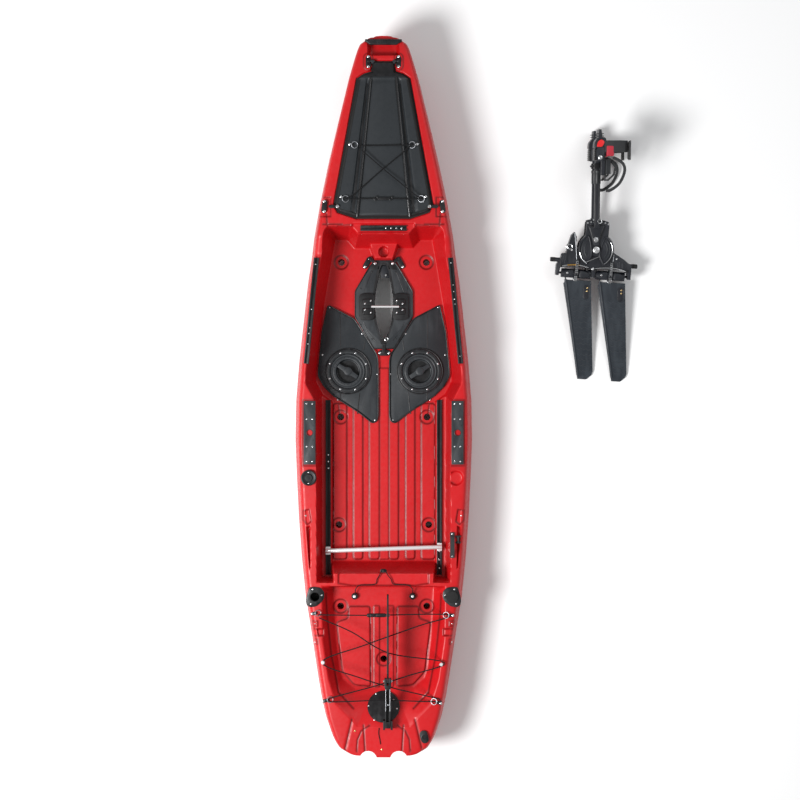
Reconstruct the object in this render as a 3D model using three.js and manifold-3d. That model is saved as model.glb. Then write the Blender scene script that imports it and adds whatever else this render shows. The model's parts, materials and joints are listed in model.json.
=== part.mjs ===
// A sit-on-top pedal kayak with its lift-out fin drive, in millimetres, +Z up.
// The hull lies keel down with its bow towards +Y; the origin is under its middle, on the floor.
// The drive lies on its starboard side beside the hull: its own x runs aft, y up and z to port.
import * as THREE from 'three';
import { mergeVertices } from 'three/addons/utils/BufferGeometryUtils.js';
import Module from 'manifold-3d';

const wasm = await Module();
wasm.setup();

// Hull
const hullLength = 3600;
const hullBeam = 900;
const hullDepth = 300;
const hullWall = 5;
const foredeckRise = 40;
const cockpitFloorZ = 130;
const ledgeRise = 20;
const tankwellFloorZ = 215;
const scupperRadius = 17;
const scupperSides = 8;

// Gaps: touching pieces, running fits, and the extra depth of every cut
const gap = 0.3;
const runningGap = 0.6;
const overrun = 60;
const pinSeat = 1;
const mitreLimit = 0.35;

// Bow hatch
const lidRecessDepth = 12;
const lidGap = 5;
const lidHeight = 16;
const lidCrown = 14;
const lidWall = 5;
const lidRidgeWidth = 16;
const lidRidgeHeight = 10;
const hatchLip = 26;
const gasketWidth = 12;
const gasketThickness = 3;
const hatchPinRadius = 4;
const hatchPinLength = 14;
const hatchPinHeight = 14;
const hingeBase = { width: 26, length: 64, thickness: 4 };
const hingeKnuckle = { radius: 9, length: 12 };

// Latches
const latchLever = { length: 54, width: 16, thickness: 5 };
const latchPostRadius = 6;
const latchPostHeight = 6;
const latchPinRadius = 2.5;

// Bow handle
const bowHandle = { length: 186, width: 30, thickness: 20, foot: 18, pocketDepth: 48, pocketReach: 20 };

// Accessory tracks
const trackWidth = 26;
const trackHeight = 11;
const trackSlot = 11;
const trackCavity = 18;
const trackLip = 3;
const frontTrackLength = 230;
const sideTrackLength = 532;
const seatTrackLength = 890;

// Side plates and seat bar
const mountPlate = { width: 60, length: 318, thickness: 5, holeRadius: 15.5 };
const seatBar = { radius: 11, skewDeg: 1.9, shoe: 40, shoeHeight: 8, shoeWidth: 24 };

// Cockpit panels and round hatches
const panelThickness = 7;
const panelGap = 4;
const hatchRing = { outer: 112, inner: 90, height: 7 };
const hatchCap = { thickness: 6, bowlRadius: 62, bowlDepth: 26, wall: 4, bar: 24, barHeight: 16 };
const capAngleDeg = 40;

// Drive well and its cassette
const cassetteThickness = 11;
const sleeveWall = 5;
const sleeveGap = 3;
const sleeveBottomZ = 8;
const receiver = { width: 72, length: 120, height: 14 };
const crossRodRadius = 4.5;
const crossRodSeat = 18;

// Cockpit block, cup recess, side pockets, rod holders, dial, plug, handle
const block = { height: 62, cupRadius: 26, cupDepth: 40 };
const cup = { radius: 37, depth: 22, gap: 31 };
const sidePocket = { width: 34, length: 230, depth: 30 };
const rodHolder = { flange: 46, thickness: 5, outer: 26, inner: 22, depth: 120, wall: 4 };
const rodCap = { radius: 30, thickness: 7, hinge: 6, ear: 12 };
const dial = { radius: 40, height: 14, hubRadius: 18, hubHeight: 8, axleRadius: 6, axleDepth: 8, gap: 26 };
const drainPlug = { radius: 20, length: 66, height: 9, stemRadius: 9, stemDepth: 12, turnDeg: 15 };
const gripStrap = { length: 128, width: 22, thickness: 6, height: 34 };

// Rudder
const rudderDisc = { radius: 81, thickness: 7 };
const rudderLug = { width: 20, gap: 28, height: 34, length: 44, over: 10 };
const rudderPinRadius = 5;
const rudderHinge = { back: 77.4, z: 330, across: 22 };
const rudderArm = { width: 26, height: 26, wall: 4, length: 176 };
const rudderHead = { radius: 17, height: 56, fork: 14, reach: 26, pinRadius: 4 };
const rudderYawReach = 200;
const rudderBlade = { length: 430, chord: 78, thickness: 9, rise: 32 };

// Cords
const bungeeRadius = 2.5;
const lineRadius = 2;
const cordSides = 8;
const padRadius = 13;
const padHeight = 4;
const tetherKnobRadius = 12;

// Drive: where it lies and how it is tilted
const drivePlace = { x: 1082, y: 760 };
const driveTiltDeg = -4;

// Drive sizes
const spineLength = 384;
const spineDepth = 170;
const spineWidth = 56;
const pegRadius = 11;
const pegLength = 32;
const pegSeat = 20;
const pegRise = { front: -65, rear: -73 };
const shaftInset = { middle: 6, end: 10 };
const axleRadius = 9;
const axleHeadRadius = 17;
const axleHeadHeight = 7;
const drumRadius = 90;
const drumThickness = 16;
const drumGap = 2;
const drumWingDeg = { from: -62, to: 60 };
const fanRadius = 155;
const fanThickness = 10;
const crankLean = 4;
const crankPostWidth = 28;
const crankPostDepth = 26;
const crankLength = 470;
const crankFoot = { top: 122, width: 84, lap: 22, thickness: 12 };
const spindleRadius = 7;
const spindleInset = 6;
const pedalGap = 3;
const pedal = { width: 90, thickness: 30, above: 138, bulge: 6 };
const heelPlate = { drop: 92, width: 56, depth: 16, out: 2, lap: 4 };
const strapThickness = 4;
const toeStrap = { width: 58, height: 118, low: 26 };
const heelStrap = { width: 26, length: 118, reach: 62, lift: 2 };
const finPitch = 176;
const hubShaftY = -130;
const hubShaftRadius = 6;
const hubRadius = 23;
const hubLength = 150;
const sprocket = { radius: 28, width: 22 };
const mastRadius = 4;
const mastShoulder = 8;
const finLength = 490;
const finTopWidth = 141;
const finThickness = 5;
const finStrip = 14;
const finLead = 59;
const finDrop = 30;
const finStripEnds = { top: 14, tip: 10 };
const cableRadius = 1.8;

// Colours seen in the photograph
const red = new THREE.MeshStandardMaterial({ color: 0xd3131b, roughness: 0.42, metalness: 0 });
const slate = new THREE.MeshStandardMaterial({ color: 0x34393d, roughness: 0.55, metalness: 0 });
const black = new THREE.MeshStandardMaterial({ color: 0x141516, roughness: 0.6, metalness: 0 });
const rubber = new THREE.MeshStandardMaterial({ color: 0x1a1a1b, roughness: 0.85, metalness: 0 });
const steel = new THREE.MeshStandardMaterial({ color: 0xb9bcc0, roughness: 0.28, metalness: 1 });
const finBlue = new THREE.MeshStandardMaterial({ color: 0x39424c, roughness: 0.62, metalness: 0 });
const webbing = new THREE.MeshStandardMaterial({ color: 0x2c2d30, roughness: 0.9, metalness: 0 });
const cordBlack = new THREE.MeshStandardMaterial({ color: 0x17181a, roughness: 0.8, metalness: 0 });

// Outlines as shares of the half beam and of the hull's length, from the bow aft
const stationShares = [
  // place, half width, keel height, sheer rise
  [0.5, 0.12, 0.62, 0.9], [0.4979, 0.178, 0.55, 1], [0.4896, 0.278, 0.4, 1], [0.4813, 0.306, 0.31, 1],
  [0.4688, 0.339, 0.22, 1], [0.441, 0.406, 0.11, 1], [0.413, 0.461, 0.055, 1], [0.385, 0.517, 0.022, 1],
  [0.33, 0.622, 0, 1], [0.274, 0.717, 0, 1], [0.2229, 0.787, 0, 1], [0.2, 0.811, 0, 0],
  [0.163, 0.856, 0, 0], [0.108, 0.906, 0, 0], [0.052, 0.956, 0, 0], [-0.0035, 0.992, 0, 0],
  [-0.059, 1, 0, 0], [-0.1146, 0.983, 0, 0], [-0.17, 0.961, 0, 0], [-0.2257, 0.928, 0, 0],
  [-0.281, 0.883, 0, 0], [-0.337, 0.811, 0, 0], [-0.392, 0.744, 0.03, 0], [-0.42, 0.706, 0.07, 0],
  [-0.448, 0.656, 0.12, 0], [-0.476, 0.578, 0.19, 0], [-0.488, 0.517, 0.24, 0],
  [-0.4965, 0.4, 0.3, 0], [-0.5, 0.27, 0.34, 0],
];
const sectionShares = [
  // across the half width, up from keel to sheer
  [0.22, 0], [0.58, 0.04], [0.84, 0.17], [0.96, 0.38], [1, 0.58], [0.955, 1],
];
const cockpitTopShares = [
  [0, 0.223], [0.356, 0.223], [0.444, 0.234], [0.6, 0.234], [0.65, 0.197], [0.74, 0.135], [0.783, 0.094],
  [0.828, 0.038], [0.833, 0.019], [0.75, 0.006], [0.744, -0.257], [0.555, -0.257], [0.555, -0.237],
  [0, -0.237],
];
const ledgeShares = [
  [0, 0.214], [0.33, 0.214], [0.42, 0.2255], [0.56, 0.2255], [0.603, 0.195], [0.69, 0.132], [0.733, 0.09],
  [0.778, 0.036], [0.78, 0.02], [0.705, 0.002], [0.7, -0.2535], [0.585, -0.2535], [0.585, -0.2335],
  [0, -0.2335],
];
const footwellShares = [
  [0, 0.212], [0.33, 0.212], [0.41, 0.2235], [0.55, 0.2235], [0.595, 0.193], [0.68, 0.13], [0.723, 0.088],
  [0.768, 0.034], [0.768, 0.022], [0.69, 0.004], [0.578, -0.006], [0.578, -0.232], [0, -0.232],
];
const tankTopShares = [
  [0, -0.262], [0.689, -0.262], [0.683, -0.337], [0.617, -0.392], [0.533, -0.426], [0.289, -0.457],
  [0, -0.458],
];
const tankFloorShares = [
  [0, -0.266], [0.567, -0.266], [0.533, -0.337], [0.494, -0.381], [0.456, -0.394], [0.322, -0.407],
  [0, -0.407],
];
const lidRecessShares = [
  [0, 0.4665], [0.144, 0.4665], [0.144, 0.452], [0.222, 0.449], [0.306, 0.442], [0.561, 0.267],
  [0.517, 0.255], [0.3, 0.246], [0, 0.246],
];
const lidRidgeShares = [[0.144, 0.4395], [0.294, 0.248]];
const panelShares = [
  [0.633, 0.131], [0.336, 0.1115], [0.081, 0.0615], [0.065, 0.052], [0.065, -0.026], [0.081, -0.034],
  [0.133, -0.036], [0.283, -0.021], [0.567, 0.002], [0.68, 0.016], [0.742, 0.03], [0.742, 0.038], [0.7, 0.093],
];
const blockShares = [[0.172, 0.2195], [0.106, 0.195]];
const blockCupShare = 0.2052;
const blockTopShare = 0.86;
const cassetteShares = [
  [0, 0.1945], [0.106, 0.1945], [0.164, 0.186], [0.328, 0.151], [0.329, 0.1145], [0.117, 0.069], [0, 0.069],
];
const slotShares = [
  [0, 0.19], [0.033, 0.188], [0.061, 0.18], [0.106, 0.149], [0.117, 0.135], [0.094, 0.108], [0.044, 0.087],
  [0.022, 0.0775], [0, 0.0775],
];
const scupperShares = [
  [-0.483, 0.192], [0.483, 0.192], [-0.49, -0.0276], [0.49, -0.0276], [-0.51, -0.1805], [0.51, -0.1805],
  [-0.484, -0.293], [0.484, -0.293], [0, -0.367],
];
const roundHatchShares = [0.4075, 0.0373];
const frontTrackShares = [0, 0.234];
const sideTrackShares = [[0.744, 0.194], [0.858, 0.047]];
const seatTrackShares = [0.629, -0.127];
const mountPlateShares = [0.822, -0.049];
const dialShare = -0.83;
const cupShare = 0.807;
const rodShares = [0.762, -0.277];
const pocketShares = [0.845, -0.208];
const drainShares = [0.452, -0.471];
const gripShares = [0.763, -0.205];
const bowHandleShares = [0, 0.4904];
const bowPocketShares = [0.178, 0.473];
const hatchHingeShares = [0.167, 0.4639];
const hatchLatchShares = [0.6, 0.2635];
const crossRodShare = 0.1285;
const cassetteLatches = {
  left: { shares: [-0.0995, 0.19], turnDeg: 45 },
  right: { shares: [0.0995, 0.19], turnDeg: -45 },
  aft: { shares: [0, 0.075], turnDeg: 180 },
};
const seatBarShares = [0, -0.2135];
const padShares = [
  [-0.744, -0.301], [0.744, -0.301], [-0.7, -0.368], [0.7, -0.368], [-0.66, -0.422], [0.66, -0.422],
];
const sternScoopShares = [0.17, -0.4965];
const sternScoop = { radius: 44, depth: 20 };
const tetherEyeShares = [0, -0.2406];
const bladeShares = [
  // along the blade from its pin, across its chord
  [-0.016, -0.18], [0.033, -0.18], [0.098, -0.5], [0.55, -0.5], [0.92, -0.31], [1, -0.1], [1, 0.15],
  [0.9, 0.425], [0.55, 0.5], [0.098, 0.5], [0.033, 0.18], [-0.016, 0.18],
];

// Drive outlines in shares of the named size that each follows; y is up from the axle
const spineShares = [
  [-0.5, -0.53], [-0.44, -0.26], [-0.385, -0.19], [-0.36, 0.12], [-0.33, 0.38], [-0.29, 0.48],
  [-0.262, 0.34], [-0.262, -0.02], [-0.16, 0.1], [0.16, 0.1], [0.24, -0.05], [0.39, -0.24], [0.5, -0.42],
  [0.5, -0.84], [0.462, -0.84], [0.446, -0.6], [0.35, -0.56], [0.1, -0.56], [0.03, -0.6], [0.022, -0.84],
  [-0.022, -0.84], [-0.03, -0.6], [-0.1, -0.56], [-0.35, -0.56], [-0.446, -0.6], [-0.462, -0.84],
  [-0.5, -0.84],
];
const wingRootShares = [[0.11, -0.24], [0.36, 0.62], [0.33, 0.33]];
const fanShares = [
  [-0.375, 0.87], [-0.2, 0.965], [0, 1], [0.2, 0.965], [0.375, 0.87], [0.375, 0.42], [0.155, 0.155],
  [-0.155, 0.155], [-0.375, 0.42],
];
const crankFootShares = [[-0.5, 1], [-0.167, 0.26], [-0.143, 0.18], [0.143, 0.18], [0.167, 0.26], [0.5, 1]];
const pedalShares = [
  // through the pedal's thickness, up its length above the spindle
  [-0.5, -0.13], [0.5, -0.13], [0.7, 0.217], [0.5, 0.507], [0.133, 1], [-0.267, 1], [-0.333, 0.435],
  [-0.7, 0.217],
];
const toeStrapShares = [
  // across the pedal's width, out from its sole
  [-0.5, 0], [-0.545, 0.5], [-0.435, 0.86], [-0.2, 1], [0.2, 1], [0.435, 0.86], [0.545, 0.5], [0.5, 0],
  [0.455, 0], [0.5, 0.5], [0.41, 0.82], [0.18, 0.966], [-0.18, 0.966], [-0.41, 0.82], [-0.5, 0.5], [-0.455, 0],
];
const heelStrapShares = [[0, 0], [0.5, -0.1], [1, -0.4], [0.85, -0.75], [0.35, -1], [0, -1]];
const finShares = [
  // across the top width, down the length from the top of the leading edge
  [0, 0], [0.81, -1], [1.13, -1], [1.31, -0.95], [1.345, -0.91], [1, 0.04], [0.12, 0.04],
];
const mastTopShares = [0.05, 0.07];
const mastTipShares = [0.8, -0.94];

const degrees = Math.PI / 180;
const halfBeam = hullBeam / 2;
const atHull = ([across, along]) => [across * halfBeam, along * hullLength];

function manifoldOf(geometry) {
  const bare = geometry.index ? geometry.toNonIndexed() : geometry.clone();
  for (const name of Object.keys(bare.attributes)) {
    if (name !== 'position') bare.deleteAttribute(name);
  }
  const merged = mergeVertices(bare, 1e-4);
  const mesh = new wasm.Mesh({
    numProp: 3,
    vertProperties: new Float32Array(merged.attributes.position.array),
    triVerts: new Uint32Array(merged.index.array),
  });
  return new wasm.Manifold(mesh);
}

function geometryOf(solid) {
  const mesh = solid.getMesh();
  const geometry = new THREE.BufferGeometry();
  geometry.setAttribute('position', new THREE.BufferAttribute(Float32Array.from(mesh.vertProperties), 3));
  geometry.setIndex(Array.from(mesh.triVerts));
  geometry.computeVertexNormals();
  return geometry;
}

const add = (first, ...rest) => rest.reduce((sum, next) => sum.add(next), first);
const cut = (first, ...rest) => rest.reduce((left, next) => left.subtract(next), first);

// One part's mesh, from a solid or a geometry
function piece(name, shape, material) {
  const geometry = shape.isBufferGeometry ? shape : geometryOf(shape);
  const mesh = new THREE.Mesh(geometry, material);
  mesh.name = name;
  return mesh;
}

// A closed solid through rings of equal point counts, with flat ends
function ringSolid(rings) {
  const count = rings[0].length;
  const positions = rings.flat(2);
  const index = [];
  for (let ring = 0; ring < rings.length - 1; ring += 1) {
    for (let at = 0; at < count; at += 1) {
      const a = ring * count + at;
      const b = ring * count + (at + 1) % count;
      index.push(a, b, a + count, b, b + count, a + count);
    }
  }
  const top = (rings.length - 1) * count;
  for (const [a, b, c] of capTriangles(rings[0])) index.push(c, b, a);
  for (const [a, b, c] of capTriangles(rings[rings.length - 1])) index.push(top + a, top + b, top + c);
  const geometry = new THREE.BufferGeometry();
  geometry.setAttribute('position', new THREE.Float32BufferAttribute(positions, 3));
  geometry.setIndex(index);
  let solid = manifoldOf(geometry);
  if (solid.volume() < 0) {
    geometry.setIndex(index.map((_, at) => index[at - (at % 3) + 2 - (at % 3)]));
    solid = manifoldOf(geometry);
  }
  return solid;
}

// Triangles over a flat ring that turn the same way as the ring does
function capTriangles(ring) {
  const normal = new THREE.Vector3();
  ring.forEach((point, at) => {
    const next = ring[(at + 1) % ring.length];
    normal.add(new THREE.Vector3(...point).cross(new THREE.Vector3(...next)));
  });
  const facing = normal.toArray().map(Math.abs);
  const away = facing.indexOf(Math.max(...facing));
  const [right, up] = [0, 1, 2].filter((axis) => axis !== away);
  const flat = ring.map((point) => new THREE.Vector2(point[right], point[up]));
  const turn = Math.sign(THREE.ShapeUtils.area(flat));
  return THREE.ShapeUtils.triangulateShape(flat, []).map((triangle) => {
    const same = Math.sign(THREE.ShapeUtils.area(triangle.map((at) => flat[at]))) === turn;
    return same ? triangle : [...triangle].reverse();
  });
}

const ringAt = (outline, z) => outline.map(([x, y]) => [x, y, z]);

// An outline mirrored to the other side of the centreline, in millimetres
function mirrored(halfShares) {
  const right = halfShares.map(atHull).filter(([x]) => x > 0);
  const left = right.map(([x, y]) => [-x, y]).reverse();
  return [...right, ...left];
}

// A closed outline moved outward by a distance, or inward by a negative one
function grown(outline, distance) {
  const sign = Math.sign(THREE.ShapeUtils.area(outline.map(([x, y]) => new THREE.Vector2(x, y)))) || 1;
  return outline.map((point, at) => {
    const before = outline[(at + outline.length - 1) % outline.length];
    const after = outline[(at + 1) % outline.length];
    const normals = [[before, point], [point, after]].map(([from, to]) => {
      const run = new THREE.Vector2(to[0] - from[0], to[1] - from[1]).normalize();
      return new THREE.Vector2(run.y, -run.x).multiplyScalar(sign);
    });
    const middle = normals[0].clone().add(normals[1]).normalize();
    const reach = distance / Math.max(middle.dot(normals[0]), mitreLimit);
    return [point[0] + middle.x * reach, point[1] + middle.y * reach];
  });
}

// A prism of an outline between two heights
const prism = (outline, low, high) => ringSolid([ringAt(outline, low), ringAt(outline, high)]);

// A flat plate drawn in x and y and as thick as z allows
function plate(points, low, high) {
  const shape = new THREE.Shape(points.map(([x, y]) => new THREE.Vector2(x, y)));
  const geometry = new THREE.ExtrudeGeometry(shape, { depth: high - low, bevelEnabled: false });
  return manifoldOf(geometry.translate(0, 0, low));
}

function boxAt(size, centre) {
  const geometry = new THREE.BoxGeometry(size[0], size[1], size[2]);
  return manifoldOf(geometry.translate(centre[0], centre[1], centre[2]));
}

// A round bar between two points
function bar(from, to, radius, sides = 16) {
  const start = new THREE.Vector3(...from);
  const run = new THREE.Vector3(...to).sub(start);
  const geometry = new THREE.CylinderGeometry(radius, radius, run.length(), sides);
  const turn = new THREE.Quaternion().setFromUnitVectors(new THREE.Vector3(0, 1, 0), run.clone().normalize());
  geometry.applyQuaternion(turn).translate(...start.addScaledVector(run, 1 / 2).toArray());
  return manifoldOf(geometry);
}

const post = ([x, y], low, high, radius, sides) => bar([x, y, low], [x, y, high], radius, sides);

// A tube whose corners are the route's own points, chosen by hand
function cord(route, radius) {
  const points = route.map((place) => new THREE.Vector3(...place));
  const rings = points.map((point, at) => {
    const ahead = points[Math.min(at + 1, points.length - 1)].clone().sub(points[Math.max(at - 1, 0)]);
    const run = ahead.normalize();
    const across = new THREE.Vector3(0, 0, 1).cross(run).normalize();
    const up = run.clone().cross(across);
    return Array.from({ length: cordSides }, (_, side) => {
      const angle = (side / cordSides) * 2 * Math.PI;
      return point.clone().addScaledVector(across, radius * Math.cos(angle))
        .addScaledVector(up, radius * Math.sin(angle)).toArray();
    });
  });
  return ringSolid(rings);
}

// An outline with rounded ends, as long as its length and as wide as its width
function rounded(length, width, steps = 6) {
  const radius = width / 2;
  const straight = length / 2 - radius;
  const points = [];
  for (const end of [1, -1]) {
    for (let step = 0; step <= steps; step += 1) {
      const angle = (step / steps) * Math.PI + (end === 1 ? 0 : Math.PI);
      points.push([radius * Math.cos(angle), end * straight + radius * Math.sin(angle)]);
    }
  }
  return points;
}

const moved = (outline, [x, y]) => outline.map((point) => [point[0] + x, point[1] + y]);

function turned(outline, angle) {
  return outline.map(([x, y]) => [
    x * Math.cos(angle) - y * Math.sin(angle),
    x * Math.sin(angle) + y * Math.cos(angle),
  ]);
}

const sheerAt = (rise) => hullDepth + foredeckRise * rise;
const deckZ = sheerAt(0);
const foredeckZ = sheerAt(1);
const ledgeZ = cockpitFloorZ + ledgeRise;
const sides = { left: -1, right: 1 };

// A round fitting's place on the gunwale, just aft of the side plate
const behindPlate = (share, { radius, gap: room }) => [
  share * halfBeam, mountPlateShares[1] * hullLength - mountPlate.length / 2 - radius - room,
];
const dialPlace = behindPlate(dialShare, dial);
const cupPlace = behindPlate(cupShare, cup);

// Hull section rings at one station, drawn in by an inset on every side
function stationRing([place, width, keel, rise], inset) {
  const low = keel * hullDepth;
  const high = sheerAt(rise);
  const half = sectionShares.map(([across, up]) => [across * width * halfBeam, low + up * (high - low)]);
  const section = [...half, ...half.map(([x, z]) => [-x, z]).reverse()];
  const y = THREE.MathUtils.clamp(place * hullLength, inset - hullLength / 2, hullLength / 2 - inset);
  return grown(section, -inset).map(([x, z]) => [x, y, z]);
}

function hullLoft(inset) {
  return ringSolid(stationShares.map((station) => stationRing(station, inset)));
}

// A drafted hollow from its floor up through the deck, larger by an allowance all round
function hollow(floorShares, topShares, floorZ, topZ, allowance = 0) {
  const floor = grown(mirrored(floorShares), allowance);
  const top = grown(mirrored(topShares), allowance);
  return ringSolid([ringAt(floor, floorZ - allowance), ringAt(top, topZ), ringAt(top, topZ + overrun)]);
}

function wellSlot(growth, low, high) {
  return prism(grown(mirrored(slotShares), growth), low, high);
}

function roundHatchPlace(side) {
  return [side * roundHatchShares[0] * halfBeam, roundHatchShares[1] * hullLength];
}

function hullRecesses(allowance) {
  const list = [
    hollow(ledgeShares, cockpitTopShares, ledgeZ, deckZ, allowance),
    hollow(footwellShares, footwellShares, cockpitFloorZ, ledgeZ, allowance),
    hollow(tankFloorShares, tankTopShares, tankwellFloorZ, deckZ, allowance),
    prism(grown(mirrored(lidRecessShares), allowance), foredeckZ - lidRecessDepth - allowance,
      foredeckZ + overrun),
    post(cupPlace, deckZ - cup.depth - allowance, deckZ + overrun, cup.radius + allowance, 16),
    wellSlot(sleeveWall + sleeveGap + allowance, -overrun, cockpitFloorZ + overrun),
  ];
  const pocketHalf = bowPocketShares[0] * halfBeam + allowance;
  const pocketFront = bowHandleShares[1] * hullLength + bowHandle.pocketReach / 2 + allowance;
  const pocketBack = bowPocketShares[1] * hullLength - allowance;
  list.push(boxAt(
    [pocketHalf * 2, pocketFront - pocketBack, bowHandle.pocketDepth + allowance + overrun],
    [0, (pocketFront + pocketBack) / 2,
      foredeckZ + (overrun - bowHandle.pocketDepth - allowance) / 2],
  ));
  const trackBed = [frontTrackLength + 2 * hatchLip, trackWidth + 2 * lidGap];
  list.push(boxAt([trackBed[0] + 2 * allowance, trackBed[1] + 2 * allowance, trackHeight + allowance + overrun],
    [0, frontTrackShares[1] * hullLength, foredeckZ + (overrun - trackHeight - allowance) / 2]));
  for (const side of Object.values(sides)) {
    const [x, y] = atHull([side * pocketShares[0], pocketShares[1]]);
    list.push(boxAt(
      [sidePocket.width + 2 * allowance, sidePocket.length + 2 * allowance,
        sidePocket.depth + allowance + overrun],
      [x, y, deckZ + (overrun - sidePocket.depth - allowance) / 2],
    ));
  }
  for (const place of scupperShares) {
    list.push(post(atHull(place), -overrun, tankwellFloorZ + overrun, scupperRadius + allowance, scupperSides));
  }
  return list;
}

function cockpitBlock() {
  const [front, back] = blockShares.map(atHull);
  const base = [[front[0], front[1]], [back[0], back[1]], [-back[0], back[1]], [-front[0], front[1]]];
  const top = base.map(([x, y]) => [x * blockTopShare, y]);
  const solid = ringSolid([ringAt(base, cockpitFloorZ - hullWall), ringAt(top, cockpitFloorZ + block.height)]);
  const cupZ = cockpitFloorZ + block.height - block.cupDepth;
  return cut(solid, post([0, blockCupShare * hullLength], cupZ, cupZ + block.cupDepth + overrun,
    block.cupRadius, 20));
}

function buildHull() {
  const cavity = cut(hullLoft(hullWall), ...hullRecesses(hullWall));
  const opening = grown(mirrored(lidRecessShares), -hatchLip);
  const openings = [prism(opening, foredeckZ - lidRecessDepth - 2 * hullWall, foredeckZ + overrun)];
  for (const side of Object.values(sides)) {
    openings.push(post(roundHatchPlace(side), cockpitFloorZ - 2 * hullWall, cockpitFloorZ + overrun,
      hatchRing.inner, 20));
  }
  for (const side of Object.values(sides)) {
    openings.push(post(atHull([side * rodShares[0], rodShares[1]]), deckZ - 2 * hullWall, deckZ + overrun,
      rodHolder.outer + runningGap, 16));
  }
  openings.push(post(dialPlace, deckZ - 2 * hullWall, deckZ + overrun, dial.axleRadius + runningGap, 12));
  openings.push(post(atHull(drainShares), deckZ - 2 * hullWall, deckZ + overrun,
    drainPlug.stemRadius + runningGap, 16));
  for (const side of Object.values(sides)) {
    const [x, y] = atHull([side * sternScoopShares[0], sternScoopShares[1]]);
    openings.push(post([x, y - sternScoop.radius + sternScoop.depth], -overrun, deckZ + overrun,
      sternScoop.radius, 14));
  }
  const shell = cut(hullLoft(0), ...hullRecesses(0), cavity, ...openings);
  const pads = padShares.map((place) => post(atHull(place), deckZ - hullWall, deckZ + padHeight, padRadius, 8));
  return add(shell, cockpitBlock(), ...pads);
}

function trackSolid(length) {
  const outer = boxAt([trackWidth, length, trackHeight], [0, 0, trackHeight / 2]);
  const mouth = boxAt([trackSlot, length + overrun, trackHeight], [0, 0, trackHeight]);
  const slotTop = trackHeight - trackLip;
  const cavity = boxAt([trackCavity, length + overrun, slotTop - trackLip], [0, 0, (slotTop + trackLip) / 2]);
  return cut(outer, mouth, cavity);
}

function placed(mesh, [x, y, z], turn = 0) {
  mesh.position.set(x, y, z);
  mesh.rotation.z = turn;
  return mesh;
}

function buildTracks(group) {
  const front = piece('front_gear_track', trackSolid(frontTrackLength), black);
  group.add(placed(front, [0, frontTrackShares[1] * hullLength, foredeckZ - trackHeight + gap], Math.PI / 2));
  for (const [name, side] of Object.entries(sides)) {
    const [[nearX, nearY], [farX, farY]] = sideTrackShares.map(atHull);
    const lean = side * Math.atan2(farX - nearX, nearY - farY);
    const middle = [side * (nearX + farX) / 2, (nearY + farY) / 2, deckZ + gap];
    group.add(placed(piece(`side_track_${name}`, trackSolid(sideTrackLength), black), middle, lean));
    const [seatX, seatY] = atHull(seatTrackShares);
    const seat = piece(`seat_track_${name}`, trackSolid(seatTrackLength), black);
    group.add(placed(seat, [side * seatX, seatY, ledgeZ + gap]));
    const [plateX, plateY] = atHull(mountPlateShares);
    const outline = cut(boxAt([mountPlate.width, mountPlate.length, mountPlate.thickness],
      [0, 0, mountPlate.thickness / 2]), post([0, 0], -overrun, overrun, mountPlate.holeRadius, 24));
    group.add(placed(piece(`mount_plate_${name}`, outline, slate), [side * plateX, plateY, deckZ + gap]));
  }
}

// The seat's cross bar with a shoe in each seat track
function buildSeatBar(group) {
  const [seatX] = atHull(seatTrackShares);
  const [, barY] = atHull(seatBarShares);
  const skew = Math.tan(seatBar.skewDeg * degrees) * seatX;
  const trackTop = ledgeZ + gap + trackHeight;
  const shoeTop = trackTop + gap + seatBar.shoeHeight;
  const barZ = shoeTop + seatBar.radius - gap;
  const reach = seatX + seatBar.shoeWidth / 2;
  const endRise = skew * reach / seatX;
  const solids = [bar([-reach, barY - endRise, barZ], [reach, barY + endRise, barZ], seatBar.radius, 20)];
  for (const side of Object.values(sides)) {
    const place = [side * seatX, barY + side * skew];
    solids.push(boxAt([seatBar.shoeWidth, seatBar.shoe, seatBar.shoeHeight + seatBar.radius / 2],
      [...place, trackTop + gap + (seatBar.shoeHeight + seatBar.radius / 2) / 2]));
    const keyTop = trackTop + seatBar.shoeHeight;
    const keyLow = trackTop - trackHeight + trackLip + runningGap;
    solids.push(boxAt([trackSlot - 2 * runningGap, seatBar.shoe, keyTop - keyLow],
      [...place, (keyTop + keyLow) / 2]));
    const nutHigh = trackTop - trackLip - runningGap;
    solids.push(boxAt([trackCavity - 2 * runningGap, seatBar.shoe, nutHigh - keyLow],
      [...place, (nutHigh + keyLow) / 2]));
  }
  group.add(piece('seat_cross_bar', add(...solids), steel));
}

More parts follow.
